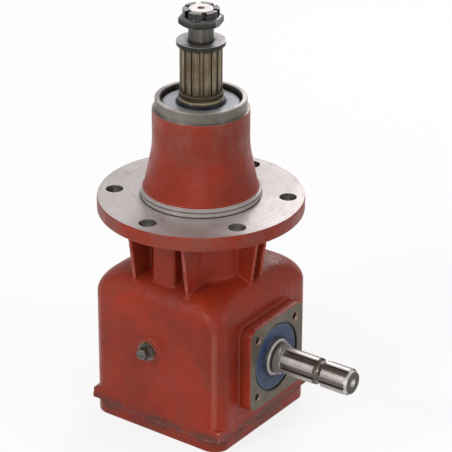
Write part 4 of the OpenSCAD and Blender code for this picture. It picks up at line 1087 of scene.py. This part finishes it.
# %% Cover
cover_fill = [rod("fill", HEAD_HOLE + 1, 0.4, COVER - 0.4, "Z", paint, spot) for spot in cover_places()]
cover_body = cast_from("cover", "cover_casting", 0.0013, 5, cover_fill)
cover_profile = [(0, -2), (HEAD_HOLE, -2), (HEAD_HOLE, HEAD_DEEP), (COVER_HOLE + SCREW_PLAY, HEAD_DEEP),
                 (COVER_HOLE + SCREW_PLAY, COVER + 2), (0, COVER + 2)]
shape(cover_body, [turned("drill", cover_profile, "Z", dark_steel, 48, spot) for spot in cover_places()],
      "DIFFERENCE")
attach(cover_body, "casing")
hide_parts("cover")
print("cover:", len(cover_body.data.polygons), "faces")

# %% [markdown]
# ## The rear cap
#
# The cap over the rear bearing is made like the cover. It is smaller, so its mould is finer.

# %% Rear cap
cap_fill = [rod("fill", CAP_HOLE + 1.5, CAP_OUTSIDE + 0.4, CAP_FACE - 0.9, "X", paint, spot, 32)
            for spot in cap_places()]
cap_body = cast_from("rear_cap", "rear_cap_casting", 0.001, 5, cap_fill)
shape(cap_body, [rod("drill", CAP_HOLE + SCREW_PLAY, CAP_OUTSIDE - 3, CAP_FACE + 3, "X", dark_steel, spot, 32)
                 for spot in cap_places()], "DIFFERENCE")
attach(cap_body, "casing")
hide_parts("rear_cap")
print("rear cap:", len(cap_body.data.polygons), "faces")

# %% [markdown]
# ## Finishes for the CAD's own pieces
#
# All other pieces are shown as the CAD drew them, so they only need a material. The table lists every
# finish with the pieces that wear it, the hidden ones inside the box too.

# %% Dress the CAD pieces
BEARING_PIECES = [f"{seat}_{piece}" for seat in ("front", "rear", "lower", "upper")
                  for piece in ("cup", "cone", "rollers")]
wearers = [
    (paint, ["housing", "cover", "rear_cap"]),
    (gasket_paper, ["cover_gasket", "rear_cap_gasket"]),
    (dark_steel, ["cover_screws", "pinion_nut", "front_ring", "lower_ring", "upper_ring"]),
    (plug_steel, ["level_plug", "fill_plug"]),
    (zinc_steel, ["rear_cap_screws"]),
    (copper, ["level_plug_washer", "fill_plug_washer"]),
    (seal_rubber, ["input_seal"]),
    (seal_case, ["output_seal"]),
    (input_steel, ["input_shaft"]),
    (output_steel, ["output_shaft"]),
    (gear_steel, ["input_gear", "output_pinion"]),
    (washer_finish, ["end_washer"]),
    (nut_finish, ["castle_nut"]),
    (bearing_steel, BEARING_PIECES),
]
for finish, nodes in wearers:
    for node in nodes:
        slots = cad_nodes[node].data.materials
        if len(slots) == 0:
            slots.append(finish)
        for index in range(len(slots)):
            slots[index] = finish
print("dressed", sum(len(nodes) for finish, nodes in wearers), "CAD pieces")
